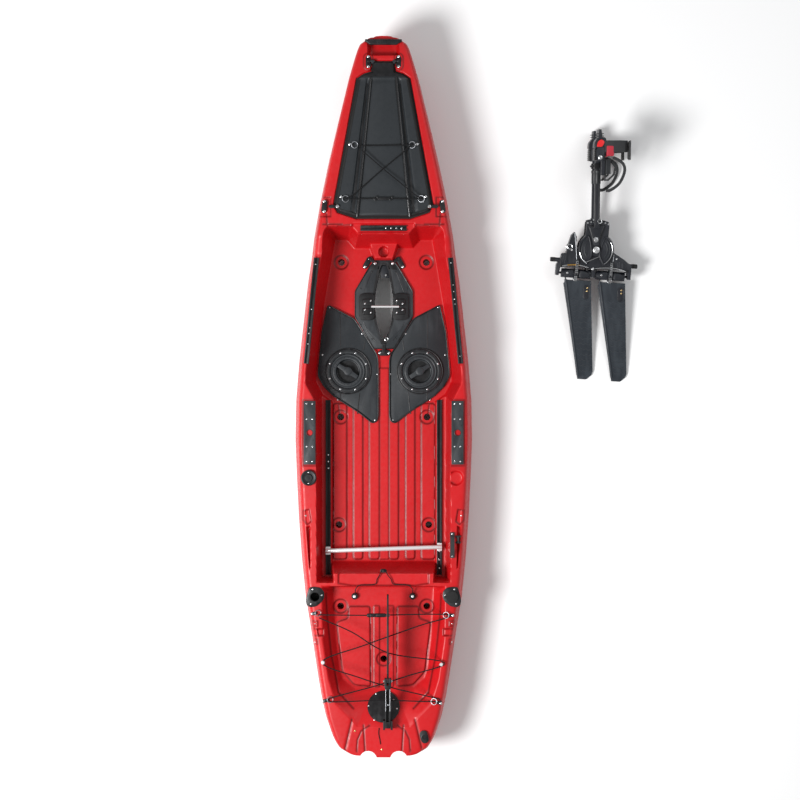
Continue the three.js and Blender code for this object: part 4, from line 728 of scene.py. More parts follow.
# Widths of rounded edges, with how the names of their nodes start
SOFT = {0.8: ("front_gear_track",),
        1: ("hatch_latch_", "seat_track_", "cassette_latch_", "tether_eye"),
        1.2: ("hatch_hinge_", "side_track_", "side_handle", "rudder_arm", "rod_holder_cap",
              "seat_cross_bar"),
        1.4: ("mount_plate_",),
        1.5: ("drain_plug", "rudder_mount", "main_axle", "crank_drum_", "mast_", "toe_strap_",
              "heel_strap_"),
        1.6: ("well_cassette", "fin_"),
        2: ("deck_panel_", "rudder_head"),
        2.5: ("rudder_blade",),
        3: ("pedal_",),
        4: ("drive_spine",),
        5: ("crank_arm_",)}


def soften(name, width):
    """A copy of a CAD node with rounded edges, in the node's place."""
    work = bmesh.new()
    work.from_mesh(frame["nodes"][name].data)
    bmesh.ops.remove_doubles(work, verts=work.verts, dist=2e-6)
    bmesh.ops.dissolve_limit(work, angle_limit=math.radians(2), verts=work.verts, edges=work.edges)
    sharp = math.radians(28)
    edges = [e for e in work.edges if len(e.link_faces) == 2 and e.calc_face_angle(0) > sharp]
    bmesh.ops.bevel(work, geom=edges, offset=width / 1000, segments=2, profile=0.6, affect="EDGES",
                    clamp_overlap=True)
    work.verts.index_update()
    verts = np.array([v.co[:] for v in work.verts]) * 1000
    faces = [tuple(v.index for v in face.verts) for face in work.faces]
    work.free()
    put(name + "_dressed", LOOK_OF[name], BODY_OF[name], (verts, faces), slot=SLOT_OF[name], replaces=[name],
        sharp=40)


for edge_width, starts in SOFT.items():
    for node_name in BODY_OF:
        if node_name.startswith(starts):
            soften(node_name, edge_width)


# Small fittings
def slanted(outline, x, y, turn, low, high, edge=1.2):
    return slab(moved(outline, x, y, turn), low, high, edge)


def screws(name, places, z, body, radius=5.2, look=SCREW):
    put(name, look, body, *[screw((x, y, z), radius) for x, y in places], slot="steel", sharp=30)


def both_sides(*places):
    return [(side * x, y) for x, y in places for side in (-1, 1)]


def d_ring(name, ring, tab, z, body, radius, look=BLACK):
    """A ring held by a strap tab with a screw."""
    run = Vector((tab[0] - ring[0], tab[1] - ring[1]))
    angle = math.degrees(math.atan2(run.y, run.x)) - 90
    lean = run.to_3d().normalized() * -0.35 + UP
    middle = [(r + t * 2) / 3 for r, t in zip(ring, tab)]
    put(name + "_ring", CABLE, body, ring_tube((*ring, z + 4 + radius * 0.3), radius, 1.8, lean))
    put(name + "_tab", look, body, slanted(capsule(30, 17), *tab, angle, z, z + 3.2),
        slanted(capsule(run.length * 0.9, 12), *middle, angle, z + 1, z + 5.2), slot="black_plastic")
    screws(name + "_screw", [tuple(Vector(tab) + run.normalized() * 8)], z + 3.2, body, 6.2)


# Bow: hatch lid with its ridges, gasket, latches and rings
LID_RIM = inset(LID, 13)
LID_UNDER, LID_TOP = 332.4, 346.5
RIDGE_ENDS, RIDGE_X, VALLEY_WIDTH = (893, 1582), (132, 65), (42, 22)
LID_TRIM = ((12.4, 333), (12.6, 340), (16, 345.5), (20, 347.8), (25, 348), (26, 345))
NECK = 1594
GRIP = [(93, 1771), (90, 1779), (-90, 1779), (-93, 1771), (-80, 1762), (-68, 1751), (68, 1751), (80, 1762)]


def half_width(outline, y):
    """Where the outline's starboard side lies at y."""
    return max(a[0] + (b[0] - a[0]) * (y - a[1]) / (b[1] - a[1])
               for a, b in zip(outline, outline[1:] + outline[:1])
               if (a[1] - y) * (b[1] - y) <= 0 and a[1] != b[1])


def lid_skin():
    """Rows across the lid: two ridges with valleys beside them, a rounded rim and a hollow underside."""
    low, high = min(y for _, y in LID_RIM) + 0.5, max(y for _, y in LID_RIM) - 0.5
    closer = np.array([1, 2.5, 5, 8])
    loops = []
    for y in np.unique(np.concatenate([np.linspace(low, high, 120), low + closer, high - closer])):
        w = half_width(LID_RIM, y)
        x = w * np.sin(np.linspace(-1, 1, 81) * math.pi / 2)
        ridge, valley = (np.interp(y, RIDGE_ENDS, ends_at) for ends_at in (RIDGE_X, VALLEY_WIDTH))
        body = np.clip((1600 - y) / 40, 0, 1) * np.clip((y - low) / 12, 0, 1)
        side = abs(x) - ridge
        crown = 2 * np.exp(-(side / 9) ** 2) + np.where(side < 0, 8 * (1 - (x / ridge) ** 2), 0)
        z = LID_TOP + body * (crown - 9 * np.exp(-((side - valley * 0.55) / (valley * 0.32)) ** 4))
        z += 3.5 * np.exp(-((y - 1588) / 7) ** 2) - 9 * np.clip((y - 1600) / 14, 0, 1)
        edge = np.minimum(w - abs(x), min(y - low, high - y))
        z -= 9 * np.clip(1 - edge / 9, 0, 1) ** 2.2
        under = LID_UNDER + np.clip((edge - 7) / 3, 0, 1) * (z - 5 - LID_UNDER)
        rim = [(w, 333.5), (w - 0.8, LID_UNDER)]
        loop = [*zip(x, z), *rim, *zip(x[::-1], under[::-1]), *[(-a, b) for a, b in rim[::-1]]]
        loops.append([(a, y, b) for a, b in loop])
    return rings(loops)


def lid():
    body = "bow_hatch"
    lugs = [slab(moved(rect(-6, -9, 6, 9), side * 53.8, 1668), 334, 358, 3) for side in (-1, 1)]
    pins = [lathe([(4, -18), (4, 4)], 16, (side * 62, 1670, 354), (side, 0, 0)) for side in (-1, 1)]
    put("lid", SLATE, body, lid_skin(), *lugs, *pins, replaces=["bow_hatch_lid"], sharp=30)
    outer, inner = inset(LID, 4), inset(LID, 26)
    band = [flat(outer, 328.5), flat(outer, 330.8), flat(inner, 330.8), flat(inner, 328.5)]
    put("gasket", RUBBER, "hull", rings(band, closed=True), replaces=["hatch_gasket"])
    verts, faces = rings([flat(inset(LID, d), z) for d, z in LID_TRIM])
    put("lid_trim", RUBBER, body, (verts, faces[:-2]))
    throat = inset(LID, 15)
    neck = [(half_width(throat, NECK), NECK)] + [v for v in throat if v[0] > 0 and v[1] > NECK]
    neck.sort(key=lambda v: v[1])
    put("lid_throat", BLACK, body, slab(neck + mirror(neck), 331, 348.5, 2), slot="black_rubber")
    rods = [tube(sided(side, (62, 1590, 348), (64, 1575, 352), (129, 912, 352), (131, 900, 348)), 7, 14)
            for side in (-1, 1)]
    put("lid_ridges", GLOSS, body, *rods)
    strips = [sided(side, (74, 1572), (85, 1572), (166, 912), (143, 912)) for side in (-1, 1)]
    put("lid_valleys", BLACK, body, *[slab(strip, 335, 338.8, 0.6) for strip in strips],
        slot="slate_plastic")
    screws("hinge_screws", both_sides((76, 1645), (76, 1695)), 345, "hull", 6.4)
    for side, word in SIDES:
        put("latch_base_" + word, BLACK, "hull",
            slanted(capsule(66, 26), side * 294, 950, side * 8, 335.2, 347.2, 2.5))
        for y in (925, 975):
            screws("latch_screw_%s_%d" % (word, y), [(side * 294, y)], 347, "hull", 6.6)
        put("latch_knob_" + word, STEEL, "hatch_latch_" + word,
            lathe([(9, 352.5), (9, 356), (7.5, 358), (4, 359)], 24, (side * 228, 948.6, 0)))
        for tag, ring, tab in (("front", (143, 1254), (160, 1257)), ("aft", (188, 986), (203, 994))):
            d_ring("lid_ring_%s_%s" % (tag, word), *sided(side, ring, tab), LID_TOP + 0.5, body, 16)
    ribs = [box((x - 1.7, 1757, 359), (x + 1.7, 1773, 361.4), 0.8) for x in range(-42, 43, 14)]
    feet = [slab(sided(side, (74, 1761), (92, 1768), (92, 1779), (74, 1779)), 337, 352, 2)
            for side in (-1, 1)]
    put("bow_grip", BLACK, "hull", slab(round_corners(GRIP, 7), 345, 360.3, 5, under=4), *feet, *ribs,
        slot=SLOT_OF["bow_handle"], replaces=["bow_handle"])
    put("bungee_hook", BLACK, body, box((-26, 979, 361), (26, 993, 368), 2.5),
        ring_tube((-38, 986, 366), 9, 2.4, n=20), ring_tube((36, 986, 366), 8, 2.4, n=20))


# Cockpit: panels with round hatches, cassette fittings
HATCH_X, HATCH_Y = 183.4, 134.3
PANEL_TOP, COLLAR_TOP, CASSETTE_TOP = 136.8, 147, 141
PANEL = ((0.633, 0.131), (0.336, 0.1115), (0.081, 0.0615), (0.065, 0.052), (0.065, -0.026), (0.081, -0.034),
         (0.133, -0.036), (0.283, -0.021), (0.567, 0.002), (0.68, 0.016), (0.742, 0.03), (0.742, 0.038),
         (0.7, 0.093))
PANEL_SCREWS = ((277, 461), (111, 326), (314, 218), (33, 119), (235, -11), (45.5, -116))
PANEL_RIBS = (((223, 440), (222, 255)), ((96, 292), (103, 243)), ((221, 24), (220, -22)),
              ((124, 24), (135, -84)))
PLATE = both((0.001, 0.1945), (0.106, 0.1945), (0.164, 0.186), (0.328, 0.151), (0.329, 0.1145),
             (0.117, 0.069), (0.001, 0.069))
COLLAR = ((113, 136), (113, 144), (110.5, 147.4), (106, 148.6), (104, 146.4), (101, 147), (95, 147),
          (92, 145.6), (90.2, 141), (90.2, 136))
CAP = ((88, 112), (88, 141), (86, 143.4), (82, 144), (78, 142.4), (75, 144), (65, 144.4), (61.5, 143),
       (60.5, 139), (58, 117), (52, 113.5), (0.5, 113), (0.5, 108), (60, 108), (63, 111))
CAP_BAR = [(-59, -11), (-24, -12.5), (-20, -16), (20, -16), (24, -12.5), (59, -11), (59, 11), (24, 12.5),
           (20, 16), (-20, 16), (-24, 12.5), (-59, 11)]


def panels():
    for side, word in SIDES:
        cx, cy = side * HATCH_X, HATCH_Y
        hatch = "round_hatch_" + word
        put("hatch_collar_" + word, DARK, "hull", lathe(COLLAR, 56, (cx, cy, 0), closed=True), sharp=50)
        places = [(cx + math.cos(a) * 100, cy + math.sin(a) * 100)
                  for a in np.arange(8) * math.pi / 4 + 0.39]
        screws("hatch_screws_" + word, places, COLLAR_TOP, "hull", 4.4)
        put("hatch_cap_" + word, SLATE, hatch, lathe(CAP, 56, (cx, cy, 0), closed=True),
            slanted(CAP_BAR, cx, cy, side * 32, 112, 141.5, 4),
            lathe([(21, 138), (21, 142), (18, 144.2), (9, 144.6)], 32, (cx, cy, 0)),
            replaces=[hatch], sharp=40)
        teeth = [slanted(rect(-1.2, -3.4, 1.2, 3.4), cx + 70 * math.sin(a), cy - 70 * math.cos(a),
                         math.degrees(a), 143.5, 146, 0.7) for a in np.arange(24) * math.pi / 12]
        put("hatch_teeth_" + word, SLATE, hatch, *teeth)
        edge = round_corners(sided(side, *at(*PANEL)), 14)
        # Painted shade: black tubes along the panel's edge and around the hatch collar stand for the shadowed gaps
        # there.
        put("panel_gap_shade_" + word, BLACK, "hull", tube(flat(edge, 143), 3.4, 8, closed=True),
            tube(flat(circle(116, 48, (cx, cy)), 144), 2.6, 8, closed=True), slot="slate_plastic")
        put("hatch_bowl_" + word, BLACK, hatch,
            lathe([(57.5, 113.2), (57.5, 114.6), (50, 114.8), (1, 114.8)], 40, (cx, cy, 0)),
            slot="slate_plastic")
        ribs = [tube(flat(sided(side, *line), PANEL_TOP), 2.6, 8) for line in PANEL_RIBS]
        put("panel_ribs_" + word, BLACK, "hull", *ribs, slot="slate_plastic")
    screws("panel_screws", both_sides(*PANEL_SCREWS), PANEL_TOP, "hull", 4.6)


def cassette():
    body = "cassette"
    for side, word in SIDES:
        put("cassette_base_" + word, BLACK, "hull",
            slanted(capsule(66, 26), side * 85, 688, side * 29, 129.6, 141.2, 2.5))
        screws("cassette_base_screws_" + word, sided(side, (97, 667), (73.4, 709.3)), CASSETTE_TOP, "hull",
               6.4)
        put("cassette_knob_" + word, STEEL, "cassette_latch_" + word,
            lathe([(8, 146), (8, 150), (6, 152), (3, 152.6)], 24, (side * 44.8, 684, 0)))
        low, high = sorted((side * 46, side * 126))
        cover = slab(round_corners(rect(low, 394, high, 530), 24, 5), 153, 157, 3)
        blocks = [box((side * 84 - 26, y - 17, 156), (side * 84 + 26, y + 17, 162), 5) for y in (439, 486)]
        put("receiver_cover_" + word, BLACK, body, cover, *blocks)
        studs = sided(side, (66, 432), (66, 493), (96, 447), (96, 478))
        screws("receiver_studs_" + word, studs, 162, body, 4.4)
        head = wound(sided(side, (24, 655), (70, 650), (62, 676), (32, 697), (20, 697)))
        put("cassette_head_" + word, BLACK, body, slab(round_corners(head, 6), 139, 141.5, 0.8))
        beads = [tube(flat(sided(side, *line), 140.6), 2.2, 8)
                 for line in (((62, 644), (102, 540)), ((104, 384), (80, 330), (40, 285)))]
        put("cassette_beads_" + word, DARK, body, *beads)
    places = both_sides((118, 556), (118, 372), (60, 300), (60, 640))
    screws("cassette_screws", places, CASSETTE_TOP, body, 4.4, DARK)
    put("cassette_base_aft", BLACK, "hull", slanted(capsule(62, 30), 2.5, 228, 90, 129.6, 141.2, 2.5))
    screws("cassette_aft_screws", [(-20, 227.5), (25.5, 227.5)], CASSETTE_TOP, "hull", 5.6)
    shelf = [(-12, 612), (32, 612), (29, 646), (16, 675), (-15, 675), (-21, 650)]
    put("cassette_shelf", INK, body, slab(shelf, 120, 127, 1.5))
    put("cassette_pin", STEEL, body, lathe([(7, 126.5), (7, 136), (5, 138.5), (2, 139)], 20, (10, 625, 0)),
        ring_tube((13, 297, 142.6), 8, 1.8))
    rod = lathe([(4.2, -64), (5.4, -62.6), (5.4, 76.6), (4.2, 78)], 20, (0, 462.6, 162.2), (1, 0, 0))
    put("cross_rod", ALLOY, body, rod, replaces=["cassette_cross_rod"])
    lip, inner, deep = inset(SLOT, -7), inset(SLOT, 1.4), inset(SLOT, 3.4)
    liner = ((inner, 12), (inner, 139), (lip, 139), (lip, 141.5), (deep, 141.5), (deep, 12))
    put("cassette_liner", BLACK, body, rings([flat(*loop) for loop in liner], closed=True))
    # Painted shade: a black tube along the plate's edge stands for the shadowed gap around it.
    edge = flat(round_corners(inset(PLATE, 2), 9), CASSETTE_TOP)
    put("cassette_gap_shade", BLACK, body, tube(edge, 3.2, 8, closed=True), slot="slate_plastic")


# Deck: tracks, plates, dial, rod holders, handle, rings
SEAT_SCREWS = {"left": (-292, -326, -360), "right": (-783, -826, -869)}
TRACK_SCREWS = {"left": (665, 441, 349, 320, 268), "right": (672, 562, 529, 492, 467, 206)}
STERN_RINGS = {0: ((-327, -1077), (-348, -1080)), 1: ((312.5, -1087), (339, -1089)),
               4: ((-266.5, -1508.5), (-293.5, -1516.5)), 5: ((252, -1518.5), (279, -1526.5))}
STERN_KNOBS = {2: (-303, -1324), 3: (289, -1334)}
HOLDER = [(-29, 48), (-6, 51), (26, 47), (46, 28), (48, -1), (37, -22), (7, -47), (-23, -52), (-41, -42),
          (-46, -16), (-38, 18)]
DIAL_RIM = ((300.5, 38.5), (303, 40), (311, 40), (314.5, 38), (316.5, 33.5), (315, 27), (314.6, 20))


def deck():
    for side, word in SIDES:
        screws("seat_track_screws_" + word, [(side * 283, y) for y in SEAT_SCREWS[word]], 158.5, "hull", 4.2)
        slant = [(side * (334.8 + (698 - y) * 0.0968), y) for y in TRACK_SCREWS[word]]
        screws("side_track_screws_" + word, slant, 308.5, "hull", 3.2)
        places = [(side * x, y) for x in (355.5, 384) for y in (-31, -108, -245, -320)]
        screws("plate_screws_" + word, places, 305, "hull", 4.2)
        eye = lathe([(17, 304.8), (17, 306.4), (15.4, 307), (15, 304)], 32, (side * 370, -176.5, 0),
                    closed=True)
        dots = [lathe([(3.4, 304.9), (3.4, 306), (2.2, 306)], 14, (side * x, y, 0))
                for x in (352, 388) for y in (-140, -213)]
        put("plate_eye_" + word, DARK, "hull", eye, *dots, slot="black_plastic")
        screws("pentagon_screw_" + word, [(side * 391, -592)], 293.4, "hull", 5)
        holder(side, word)
        for y in (-1131, -1222):
            screws("pad_screw_%s_%d" % (word, -y), [(side * 342, y)], 303, "hull", 3.4)
    screws("gear_track_screws", [(x, 842.5) for x in (12, 38, 64, 90)], 338.5, "hull", 4.2)
    dial()
    pivot = [joint["pos_m"] for joint in frame["joints"] if joint["name"] == "drain_plug_turn"][0]
    put("plug_face", BLACK, "drain_plug",
        lathe([(16, 308), (16, 309.6), (12, 310.6), (11, 309.4)], 28, (pivot[0] * 1000, pivot[1] * 1000, 0)))
    for i, places in STERN_RINGS.items():
        d_ring("stern_ring_%d" % i, *places, 301.5, "hull", 15, SLATE)
    for i, place in STERN_KNOBS.items():
        put("stern_knob_%d" % i, ALLOY, "hull",
            lathe([(6, 299), (6, 304), (9.5, 306), (9.5, 311), (6, 314)], 24, (*place, 0)))
    put("side_cleat", BLACK, "hull", box((360, -700, 299), (386, -690, 307), 2),
        box((360, -730, 299), (386, -720, 307), 2),
        lathe([(5, -14), (5, 14)], 14, (373, -710, 309), (0, 1, 0)))
    screws("side_handle_screws", [(343, -794), (343, -682)], 306, "hull", 4.4)
    put("stern_hook", BLACK, "hull", box((-84, -1097, 302), (-36, -1079, 314), 5),
        box((-44, -1098, 303), (14, -1078, 313), 6), ring_tube((-70, -1088, 313), 8, 2.4),
        ring_tube((22, -1088, 308), 8, 2.2))
    studs = [lathe([(4, 300), (4, 301.6), (2.5, 302.2)], 16, (x, y, 0))
             for x, y in ((-142, -1667), (-8, -1760))]
    put("stern_studs", BRASS, "hull", *studs)


def dial():
    """The steering dial, with notches around its rim."""
    cx, cy = DIAL
    rim = []
    for z, r in DIAL_RIM:
        notch = 1.2 if 302 < z < 313 else 0
        radii = [r - (notch if k % 4 < 2 else 0) for k in range(96)]
        rim.append([(cx + k * x, cy + k * y, z) for k, (x, y) in zip(radii, circle(1, 96))])
    put("dial", BLACK, "steering_dial", rings(rim),
        lathe([(18, 313), (18, 320), (16, 322), (6, 322.2)], 32, (cx, cy, 0)),
        lathe([(5.6, 293), (5.6, 302)], 16, (cx, cy, 0)), replaces=["steering_dial"])
    screws("dial_screws", [(cx, cy + 27), (cx, cy - 27)], 314.6, "steering_dial", 3.4)


def holder(side, word):
    """A flush rod holder: a collar on the deck, and its tube to the floor of the tube."""
    cx, cy = sided(side, RODS[1])[0]
    outer = round_corners(wound([(cx - side * x, cy + y) for x, y in HOLDER]), 9)
    angles = [math.atan2(y - cy, x - cx) for x, y in outer]
    inner, lip, low = ([(cx + r * math.cos(a), cy + r * math.sin(a)) for a in angles]
                       for r in (22, 24.5, 26))
    loops = ((outer, 300.3), (outer, 303.4), (inset(outer, 3), 305.2), (lip, 305.3), (inner, 303.5),
             (inner, 184), (low, 180), (low, 300))
    floor = lathe([(25, 180.2), (25, 184), (2, 184), (2, 180.2)], 28, (cx, cy, 0), closed=True)
    put("rod_holder_" + word + "_body", BLACK, "hull", rings([flat(*loop) for loop in loops], closed=True),
        floor, replaces=["rod_holder_" + word])
    places = [(cx + side * x, cy + y) for x, y in ((11, 38), (-34, 9), (20, -34))]
    screws("rod_screws_" + word, places, 305, "hull", 4.4)


# Cords, with the routes of the CAD solids
BOW_ROUTE = [(-124, 1248, 361), (102, 1252, 361), (128, 1244, 362), (-6, 1131, 364), (-150, 1006, 362),
             (-182, 985, 361), (0, 988, 364), (182, 985, 361), (158, 1004, 368), (10, 1124, 372),
             (-108, 1226, 370)]
STERN_ROUTE = [(-327, -1086, 307), (-60, -1088, 307), (328, -1086, 307), (170, -1143, 306),
               (-90, -1236, 306), (-308, -1322, 307), (-120, -1400, 304), (40, -1450, 303),
               (292, -1516, 307), (0, -1513, 304), (-292, -1516, 310), (-40, -1440, 311),
               (120, -1390, 311), (306, -1324, 311), (26, -1276, 312), (-160, -1170, 313),
               (-322, -1100, 313)]
TETHER_ROUTE = [(-144, -994, 227.5), (-142, -972, 240), (-140, -962, 262), (-134, -951, 302),
                (-118, -938, 304), (-44, -934, 303), (-32, -908, 303), (-20, -888, 307), (-8, -862, 307),
                (0, -859, 307), (9, -863, 307), (22, -888, 307), (38, -908, 303), (50, -932, 303),
                (104, -936, 303), (128, -940, 304), (140, -951, 302), (145, -962, 262), (147, -972, 240),
                (148, -994, 227.5)]
LINE_ROUTE = [(-22, -1652, 302.4), (-24, -1680, 302.4), (-18, -1712, 302.4), (-15, -1734, 302.4)]


def cord_piece(name, route, radius, node):
    line = spline(route, 6)
    obj = put(name, BRAID, BODY_OF[node], tube(line, radius, 10), replaces=[node])


def cords():
    cord_piece("bungee_bow", BOW_ROUTE, 2.9, "bow_bungee")
    cord_piece("bungee_stern", STERN_ROUTE, 2.9, "stern_bungee")
    cord_piece("lanyard", TETHER_ROUTE, 2.3, "tether_cord")
    cord_piece("rudder_cord", LINE_ROUTE, 2.0, "rudder_line")
    for side in (-1, 1):
        place = (side * 146, -1003, 0)
        put("knob_%d" % (side + 1), BLACK, "hull",
            lathe([(8, 218), (15, 221), (17, 226), (15, 233), (10, 236), (1, 236)], 28, place))
        put("knob_cap_%d" % (side + 1), ALLOY, "hull",
            lathe([(6.5, 235.6), (6.5, 238.4), (4, 239.4)], 20, place))


def rudder():
    """Trim of the stowed rudder, which lies to starboard of the centreline, and the screws of its disc."""
    x = 22
    slope = (DECK - TANK_Z) / (0.457 - 0.407) / LENGTH
    axis = (0, math.sin(0.43), math.cos(0.43))
    places = ((-75, -1549), (50, -1522), (67, -1562), (22, -1615), (-45, -1613), (-38, -1493))
    heads = [screw((u, v, 257.5 + (-1555.2 - v) * slope + 7.6), 4.4, axis) for u, v in places]
    put("disc_screws", SCREW, "hull", *heads, sharp=30)
    knobs = [lathe([(7, 0), (7, 4), (5, 6)], 20, (x + side * 17, -1406.6, 362), (side, 0, 0))
             for side in (-1, 1)]
    put("rudder_knobs", STEEL, "rudder_head", *knobs)
    edges = [tube([(x + side * 10.5, y, 343.4) for y in (-1452, -1560)], 1.3, 8) for side in (-1, 1)]
    put("rudder_edges", CABLE, "rudder_arm", *edges, box((x - 4, -1532, 340), (x + 8, -1526, 346), 1))
    ribs = [box((x - 4.8, y, 338), (x + 4.8, y + 3, 396), 0.8) for y in range(-1330, -1010, 40)]
    put("blade_ribs", BLACK, "rudder_blade", *ribs)


lid()
panels()
cassette()
deck()
cords()
rudder()


# The drive, in its own axes: x aft, y up, z to port, with its origin on the crank axle
DRIVE = (Matrix.Translation((1082, 760, 100.2205)) @ Matrix.Rotation(math.radians(-4), 4, "Z")
         @ Matrix.Rotation(math.radians(8.209), 4, "X"))
CRANK = DRIVE @ Matrix.Rotation(math.radians(4), 4, "Z")
# Which way each side faces along z
PORT = {"port": 1, "starboard": -1}
SPINE_SIDE = 28
DRUM_TOP = 46
FOOT_TOP = 58.5
POST_Z = 59.3
SPINDLE_Y = 464
PEDAL_MIDDLE = 120.3
PEDAL_LOW, PEDAL_HIGH = PEDAL_MIDDLE - 43, PEDAL_MIDDLE + 43
HUB_Y = -130
HUBS = {"front": -88, "rear": 88}
# Half height of a chain's links
LINK = 3.0
FIN_TOP = {"front": -147, "rear": 29}
FIN_TOP_Y = -183
FIN_WIDTH, FIN_LENGTH = 141, 490


def placed(name, look, *parts, body="drive", tag="", side="port", matrix=DRIVE, slot=None):
    """A piece given in the drive's axes for the port side, and mirrored for the starboard side."""
    turned = matrix @ Matrix.Diagonal((1, 1, PORT[side], 1))
    put(name + "_" + tag, look, body, shift(join(*parts), turned), slot=slot)


def arc(radius, first, last, n=14):
    return [(radius * math.cos(a), radius * math.sin(a)) for a in np.radians(np.linspace(first, last, n))]


def lines(routes, radius, z, sides=8, closed=False):
    return join(*[tube(flat(route, z), radius, sides, closed) for route in routes])


def drums(word):
    """Trim of a drum plate: bent rims, a wire, cups and a ribbed fan."""
    add = partial(placed, body="crank_" + word, tag=word, side=word)
    wing = arc(84, -58, 56) + [(40, 62), (30, 34), (24, 4), (20, -30)]
    rims = [round_corners(outline, 14) for outline in (wing, mirror(wing))]
    add("drum_rims", INK, lines(rims, 5.2, DRUM_TOP + 1, 12, True))
    wires = [arc(84, -56, 30), sided(-1, *arc(84, -60, -12)), [(-62, -56), (-45, -66), (20, -33)]]
    add("drum_wire", STEEL, lines(wires, 1.5, DRUM_TOP + 5.8))
    cups = [[(x * k, y * k) for x, y in arc(1, -40, 40)] for k in (72, 58)]
    add("drum_cups", SLATE, lines(cups + [sided(-1, *cup) for cup in cups], 2.6, DRUM_TOP))
    holes = [lathe([(4, 46), (4, 46.7), (2.6, 46.9)], 14, (x, y, 0)) for x, y in arc(143, 68, 112, 7)]
    add("fan_dots", STEEL if word == "port" else BLACK, *holes, slot="steel")
    spokes = [[(x * 0.45, y * 0.45), (x * 0.93, y * 0.93)] for x, y in arc(143, 74, 106, 3)]
    add("fan_ribs", INK, lines([arc(151, 69, 111)], 2.6, DRUM_TOP), lines(spokes, 2, DRUM_TOP))
    head = lathe([(17, 65), (17, 67.2), (15, 68.6), (10.5, 68.8), (10, 66.4), (0.5, 66.4)])
    add("axle_head", SCREW, head, slab(circle(7, 6), 66, 70, 0.8), body="drive")


def crank(word):
    """Trim of a crank arm: bolt and ribs at its foot, spring pin, and the post's beads, sleeve and clamp."""
    add = partial(placed, body="crank_" + word, tag=word, side=word, matrix=CRANK)
    add("foot_bolt", STEEL, slab(circle(9.5, 6, (-3, 51)), FOOT_TOP - 0.5, FOOT_TOP + 6, 1.2),
        lathe([(13, 58), (13, 59.6), (11, 60.2)], 28, (-3, 51, 0)))
    add("foot_ribs", BLACK,
        lines([[(-11, 40), (-34, 112)], [(11, 40), (34, 112)], [(-30, 118), (30, 118)]], 2.4, FOOT_TOP))
    add("spring_pin", STEEL, lathe([(6, -19), (6, 19)], 20, (0, 152, POST_Z), (1, 0, 0)),
        ring_tube((14, 146, 74), 11, 1.8, (0.4, 0, 1)))
    add("post_beads", BLACK, lines([[(x, 128), (x, 430)] for x in (-8, 8)], 1.8, 72.4))
    sleeve = [(15, 332), (17, 334), (17, 386), (19, 389), (19, 399), (16, 402)]
    add("post_sleeve", DARK, lathe(sleeve, 32, (0, 0, POST_Z), (0, 1, 0)))
    add("post_clamp", BLACK, box((-19, 408, 45), (15, 436, 75), 3),
        lathe([(5, 0), (5, 5), (3.5, 6.5)], 6, (-19, 422, POST_Z), (-1, 0, 0)))


def pedal_box(x0, y0, low, x1, y1, high, edge):
    """A block of the pedal, given from its spindle and its lower and upper faces."""
    return box((x0, SPINDLE_Y + y0, PEDAL_LOW + low), (x1, SPINDLE_Y + y1, PEDAL_HIGH + high), edge)


def pedal(word):
    add = partial(placed, body="pedal_" + word, tag=word, side=word, matrix=CRANK)
    treads = [pedal_box(-29, -13 + 9.4 * k, 0, 29, -6.5 + 9.4 * k, 0, 1.8) for k in range(6)]
    add("pedal_treads", BLACK, pedal_box(-26, -15, 2, 26, 44, -2, 2), *treads)
    housing = moved([(-30, 44), (30, 44), (34, 66), (26, 100), (-8, 100), (-28, 78)], 0, SPINDLE_Y)
    add("pedal_housing", INK, slab(round_corners(housing, 10), PEDAL_LOW + 4, PEDAL_HIGH + 2, 5),
        slot="black_plastic")
    badge = moved([(-20, 52), (10, 52), (22, 78), (4, 90), (-12, 80)], 0, SPINDLE_Y)
    add("pedal_badge", LABEL, slab(round_corners(badge, 9), PEDAL_HIGH + 1, PEDAL_HIGH + 5, 1.6))
    add("pedal_keeper", KEEPER, pedal_box(31, 7, 6, 68, 58, 5, 3))
    route = spline([(66, 464), (100, 448), (122, 424), (124, 388), (100, 336), (58, 303), (34, 300)], 5)
    band = [(7.5 * u, 2.4 * w) for u, w in circle(1, 12)]
    add("heel_band", WEB, tube(flat(route, PEDAL_MIDDLE + 22), 1, section=band))
    hem = [(146, 458), (152, 452), (152, 548), (146, 536)]
    add("toe_hem", WEB, slab(hem, PEDAL_LOW + 4, PEDAL_HIGH + 3, 1.5))
    bars = [pedal_box(33 + 8 * k, -76, 66, 37 + 8 * k, -12, -16.5, 1) for k in range(3)]
    add("pedal_buckle", DARK, pedal_box(30, -82, 21, 56, -4, -19, 3), *bars, slot="black_plastic")
    add("pedal_ribs", BLACK, *[pedal_box(-17, y, 6, 17, y + 3, -6, 1) for y in (92, 104, 116)])
    if word == "port":
        add("spindle_cap", STEEL, lathe([(11, 166), (11, 169), (8, 171), (3, 171.4)], 24, (0, SPINDLE_Y, 0)))


def link_chain(path, x, width=13):
    """Side plates and rollers along a path of (y, z) places."""
    plate = [(u * 1.3, w * LINK) for u, w in circle(1, 10)]
    parts = []
    for k, (a, b) in enumerate(zip(path, path[1:])):
        run = Vector((0, b[0] - a[0], b[1] - a[1])) * 0.18
        half = width * (1.0 if k % 2 else 0.8) / 2
        for place in (x - half, x + half):
            parts.append(tube([Vector((place, *a)) - run, Vector((place, *b)) + run], 1.0, section=plate))
        roller = [(LINK * 0.8, -width / 2), (LINK * 0.8, width / 2)]
        parts.append(lathe(roller, 12, (x, *a), (1, 0, 0)))
    return join(*parts)


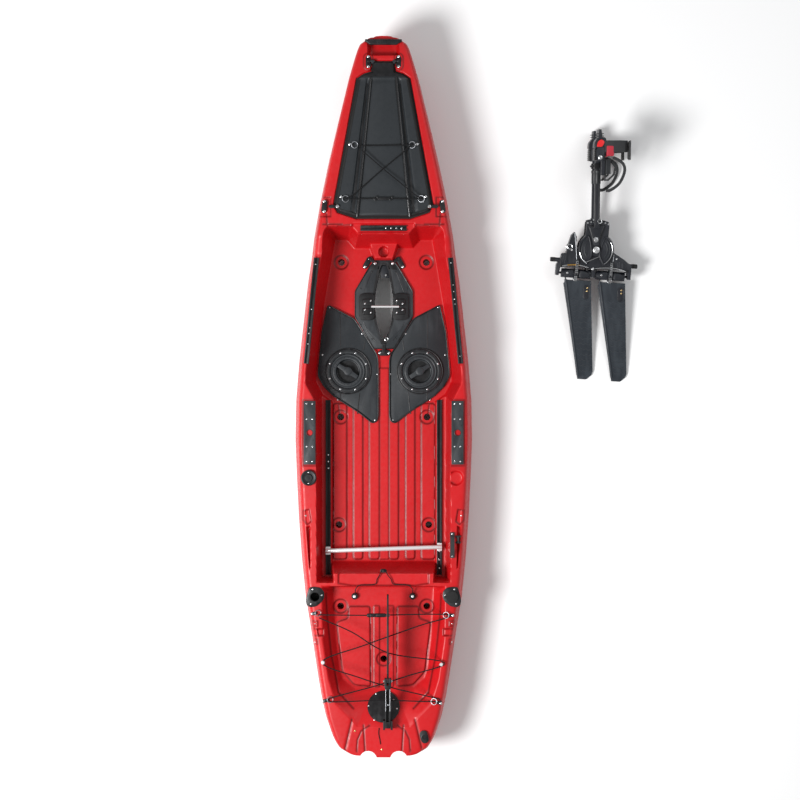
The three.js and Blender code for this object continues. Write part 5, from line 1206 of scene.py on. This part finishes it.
def hubs(word, x):
    """A mast's chain, sprocket teeth and the pods on both faces of its hub."""
    body = "mast_" + word
    straight = [(-66 - 9.3 * k, 38) for k in range(8)]
    curl = [(HUB_Y - 31.5 * math.sin(a), 31.5 * math.cos(a)) for a in np.linspace(0.42, 2.0, 7)]
    placed("chain_run", STEEL, link_chain(straight, x), tag=word)
    placed("chain_wrap", STEEL, link_chain(curl, x), body=body, tag=word)
    clamp = box((x - 9, -66, SPINE_SIDE), (x + 9, -56, SPINE_SIDE + 9), 2)
    placed("chain_clamp", SLATE, clamp, tag=word)
    tooth, hub = box((-8, 27, -3), (8, 30.5, 3), 1), Matrix.Translation((x, HUB_Y, 0))
    teeth = [shift(tooth, hub @ Matrix.Rotation(a, 4, "X")) for a in np.arange(14) * 2 * math.pi / 14]
    placed("sprocket_teeth", DARK, *teeth, body=body, tag=word)
    leaf = [(-62, -12), (-40, -18), (-12, -18), (-12, 19), (-36, 19), (-58, 12), (-72, -2)]
    drop = [(16, -19), (56, -19), (72, -8), (70, 6), (50, 16), (16, 19)]
    for side in PORT:
        add = partial(placed, body=body, tag=word + "_" + side, side=side)
        pods = [slab(round_corners(moved(outline, x, HUB_Y), radius), 19, 27, edge)
                for outline, radius, edge in ((leaf, 9, 4), (drop, 10, 5))]
        add("hub_pods", INK, *pods)
        add("hub_screws", SCREW, screw((x - 46, HUB_Y + 2, 26.5), 5.4))
        ovals = [[(x + u + r * math.cos(a), HUB_Y + 11 * math.sin(a)) for a in np.arange(20) * 0.314]
                 for u, r in ((-44, 17), (44, 18))]
        add("hub_ovals", SLATE, lines(ovals, 1.1, 27, 6, True))
        add("hub_foot", STEEL, box((x - 9, -168, -7), (x + 9, -150, 7), 2))


def spine():
    """Trim on both faces of the spine, and the rubber sleeves of its end pegs."""
    panels = ([(-168, -32), (-140, -28), (-134, -78), (-176, -84)],
              [(120, -46), (160, -62), (166, -94), (116, -86)])
    beads = [[(-158, -38), (-164, -76)], [(-148, -36), (-152, -78)], [(128, -54), (128, -82)],
             [(142, -60), (144, -86)]]
    left = spline([(-173, -96), (-137, -88), (-101, -84), (-65, -86), (-29, -94)], 6)
    right = spline([(6, -96), (46, -90), (87, -88), (130, -92), (173, -104)], 6)
    clips = ((-168, -95), (-34, -104), (10, -106), (168, -102))
    for side in PORT:
        add = partial(placed, tag=side, side=side)
        raised = [slab(round_corners(wound(p), 7, 3), SPINE_SIDE - 0.5, SPINE_SIDE + 3, 1.6) for p in panels]
        add("shoulder_panels", INK, *raised, lines(beads, 1.4, SPINE_SIDE + 3))
        add("arc_tubes", STEEL, lines([left, right], 2.6, SPINE_SIDE + 4.4, 12))
        add("arc_sleeve", GOLD if side == "port" else CABLE, lines([left[6:17]], 3.4, SPINE_SIDE + 4.4, 12))
        add("arc_clips", BLACK, *[box((x - 5, y - 7, SPINE_SIDE - 0.5), (x + 5, y + 7, SPINE_SIDE + 9.5), 2)
                                  for x, y in clips])
        bolts = ((-5, -99, 7), (-120, -10, 5), (112, -40, 5))
        add("spine_screws", SCREW, *[screw((x, y, SPINE_SIDE), radius) for x, y, radius in bolts])
        add("spine_loop", STEEL, ring_tube((-132, 6, SPINE_SIDE + 3), 12, 2))
    caps = [lathe([(11.6, 0), (11.6, 20), (9, 22)], 24, (end * 200, y, 0), (end, 0, 0))
            for end, y in ((-1, -65), (1, -73))]
    placed("peg", RUBBER, *caps, tag="sleeves", slot="slate_plastic")


def fins(word):
    """Rows of raised chevrons across both faces, and a bolted tab at the head."""
    x0 = FIN_TOP[word]
    rows = []
    for down in 0.16 + 0.057 * np.arange(14):
        lead = 0.81 * down + 0.13
        trail = min(1.0 + 0.36 * down, 1.32) - 0.03
        across = np.linspace(lead, trail, 9 if trail - lead > 0.75 else 7)
        rows.append([(x0 + t * FIN_WIDTH, FIN_TOP_Y - down * FIN_LENGTH - (9 if i % 2 else 0))
                     for i, t in enumerate(across)])
    tab = moved(capsule(72, 30), x0 + 122, -222, 2)
    for side in PORT:
        add = partial(placed, body="fin_" + word, tag=word + "_" + side, side=side)
        add("fin_marks", CHEVRON, lines(rows, 1.8, 2.2, 6))
        add("fin_tab", INK, slab(tab, 2.2, 4.4, 1.4), lines([tab], 1.2, 4, 8, True), slot="fin_plastic")
        add("fin_studs", BRASS,
            *[lathe([(4, 4.2), (4, 6.4), (2.4, 7)], 18, (x0 + 125, y, 0)) for y in (-200, -216)])


for drive_side in PORT:
    drums(drive_side)
    crank(drive_side)
    pedal(drive_side)
for mast_name, mast_x in HUBS.items():
    hubs(mast_name, mast_x)
    fins(mast_name)
spine()


# Floor, light and camera, in metres
def light(name, place, target, size, energy, color=(1, 1, 1)):
    data = bpy.data.lights.new(name, "AREA")
    data.shape = "DISK"
    data.size = size
    data.energy = energy
    data.color = color
    obj = bpy.data.objects.new(name, data)
    bpy.context.scene.collection.objects.link(obj)
    obj.location = place
    obj.rotation_mode = "QUATERNION"
    obj.rotation_quaternion = (Vector(target) - Vector(place)).to_track_quat("-Z", "Y")


def floor():
    bpy.ops.mesh.primitive_plane_add(size=14, location=(0, 0, -0.0004))
    plane = bpy.context.object
    plane.name = "floor"
    mat = bpy.data.materials.new("floor_paper")
    mat.use_nodes = True
    shader = mat.node_tree.nodes["Principled BSDF"].inputs
    shader["Roughness"].default_value = 0.9
    shader["Specular IOR Level"].default_value = 0.1
    ramp = make(mat, "ValToRGB")
    for end, grey in zip(ramp.color_ramp.elements, (0.9, 0.93)):
        end.color = (grey, grey, grey, 1)
    mat.node_tree.links.new(make(mat, "TexNoise", Scale=2.0).outputs["Fac"], ramp.inputs["Fac"])
    mat.node_tree.links.new(ramp.outputs["Color"], shader["Base Color"])
    plane.data.materials.append(mat)


def stage():
    """Paper floor, soft key and fill lights, a white world, and a camera straight above."""
    floor()
    light("key", (-4.0, -1.8, 5.6), (0.3, 0, 0), 2.6, 620)
    light("fill", (4.6, 2.6, 5.6), (0.2, 0, 0), 4.5, 90, (0.95, 0.97, 1.0))
    scene = bpy.context.scene
    scene.world = bpy.data.worlds.new("studio")
    scene.world.use_nodes = True
    background = scene.world.node_tree.nodes["Background"].inputs
    background["Color"].default_value = (1, 1, 1, 1)
    background["Strength"].default_value = 0.42
    scene.view_settings.view_transform = "Standard"
    height, deck_height, span = 8.0, 0.3, 4.0
    data = bpy.data.cameras.new("camera")
    data.sensor_width = 36
    data.lens = data.sensor_width * (height - deck_height) / span
    data.clip_end = 60
    scene.camera = bpy.data.objects.new("camera", data)
    scene.collection.objects.link(scene.camera)
    scene.camera.location = (0.0825, -0.0125, height)


stage()
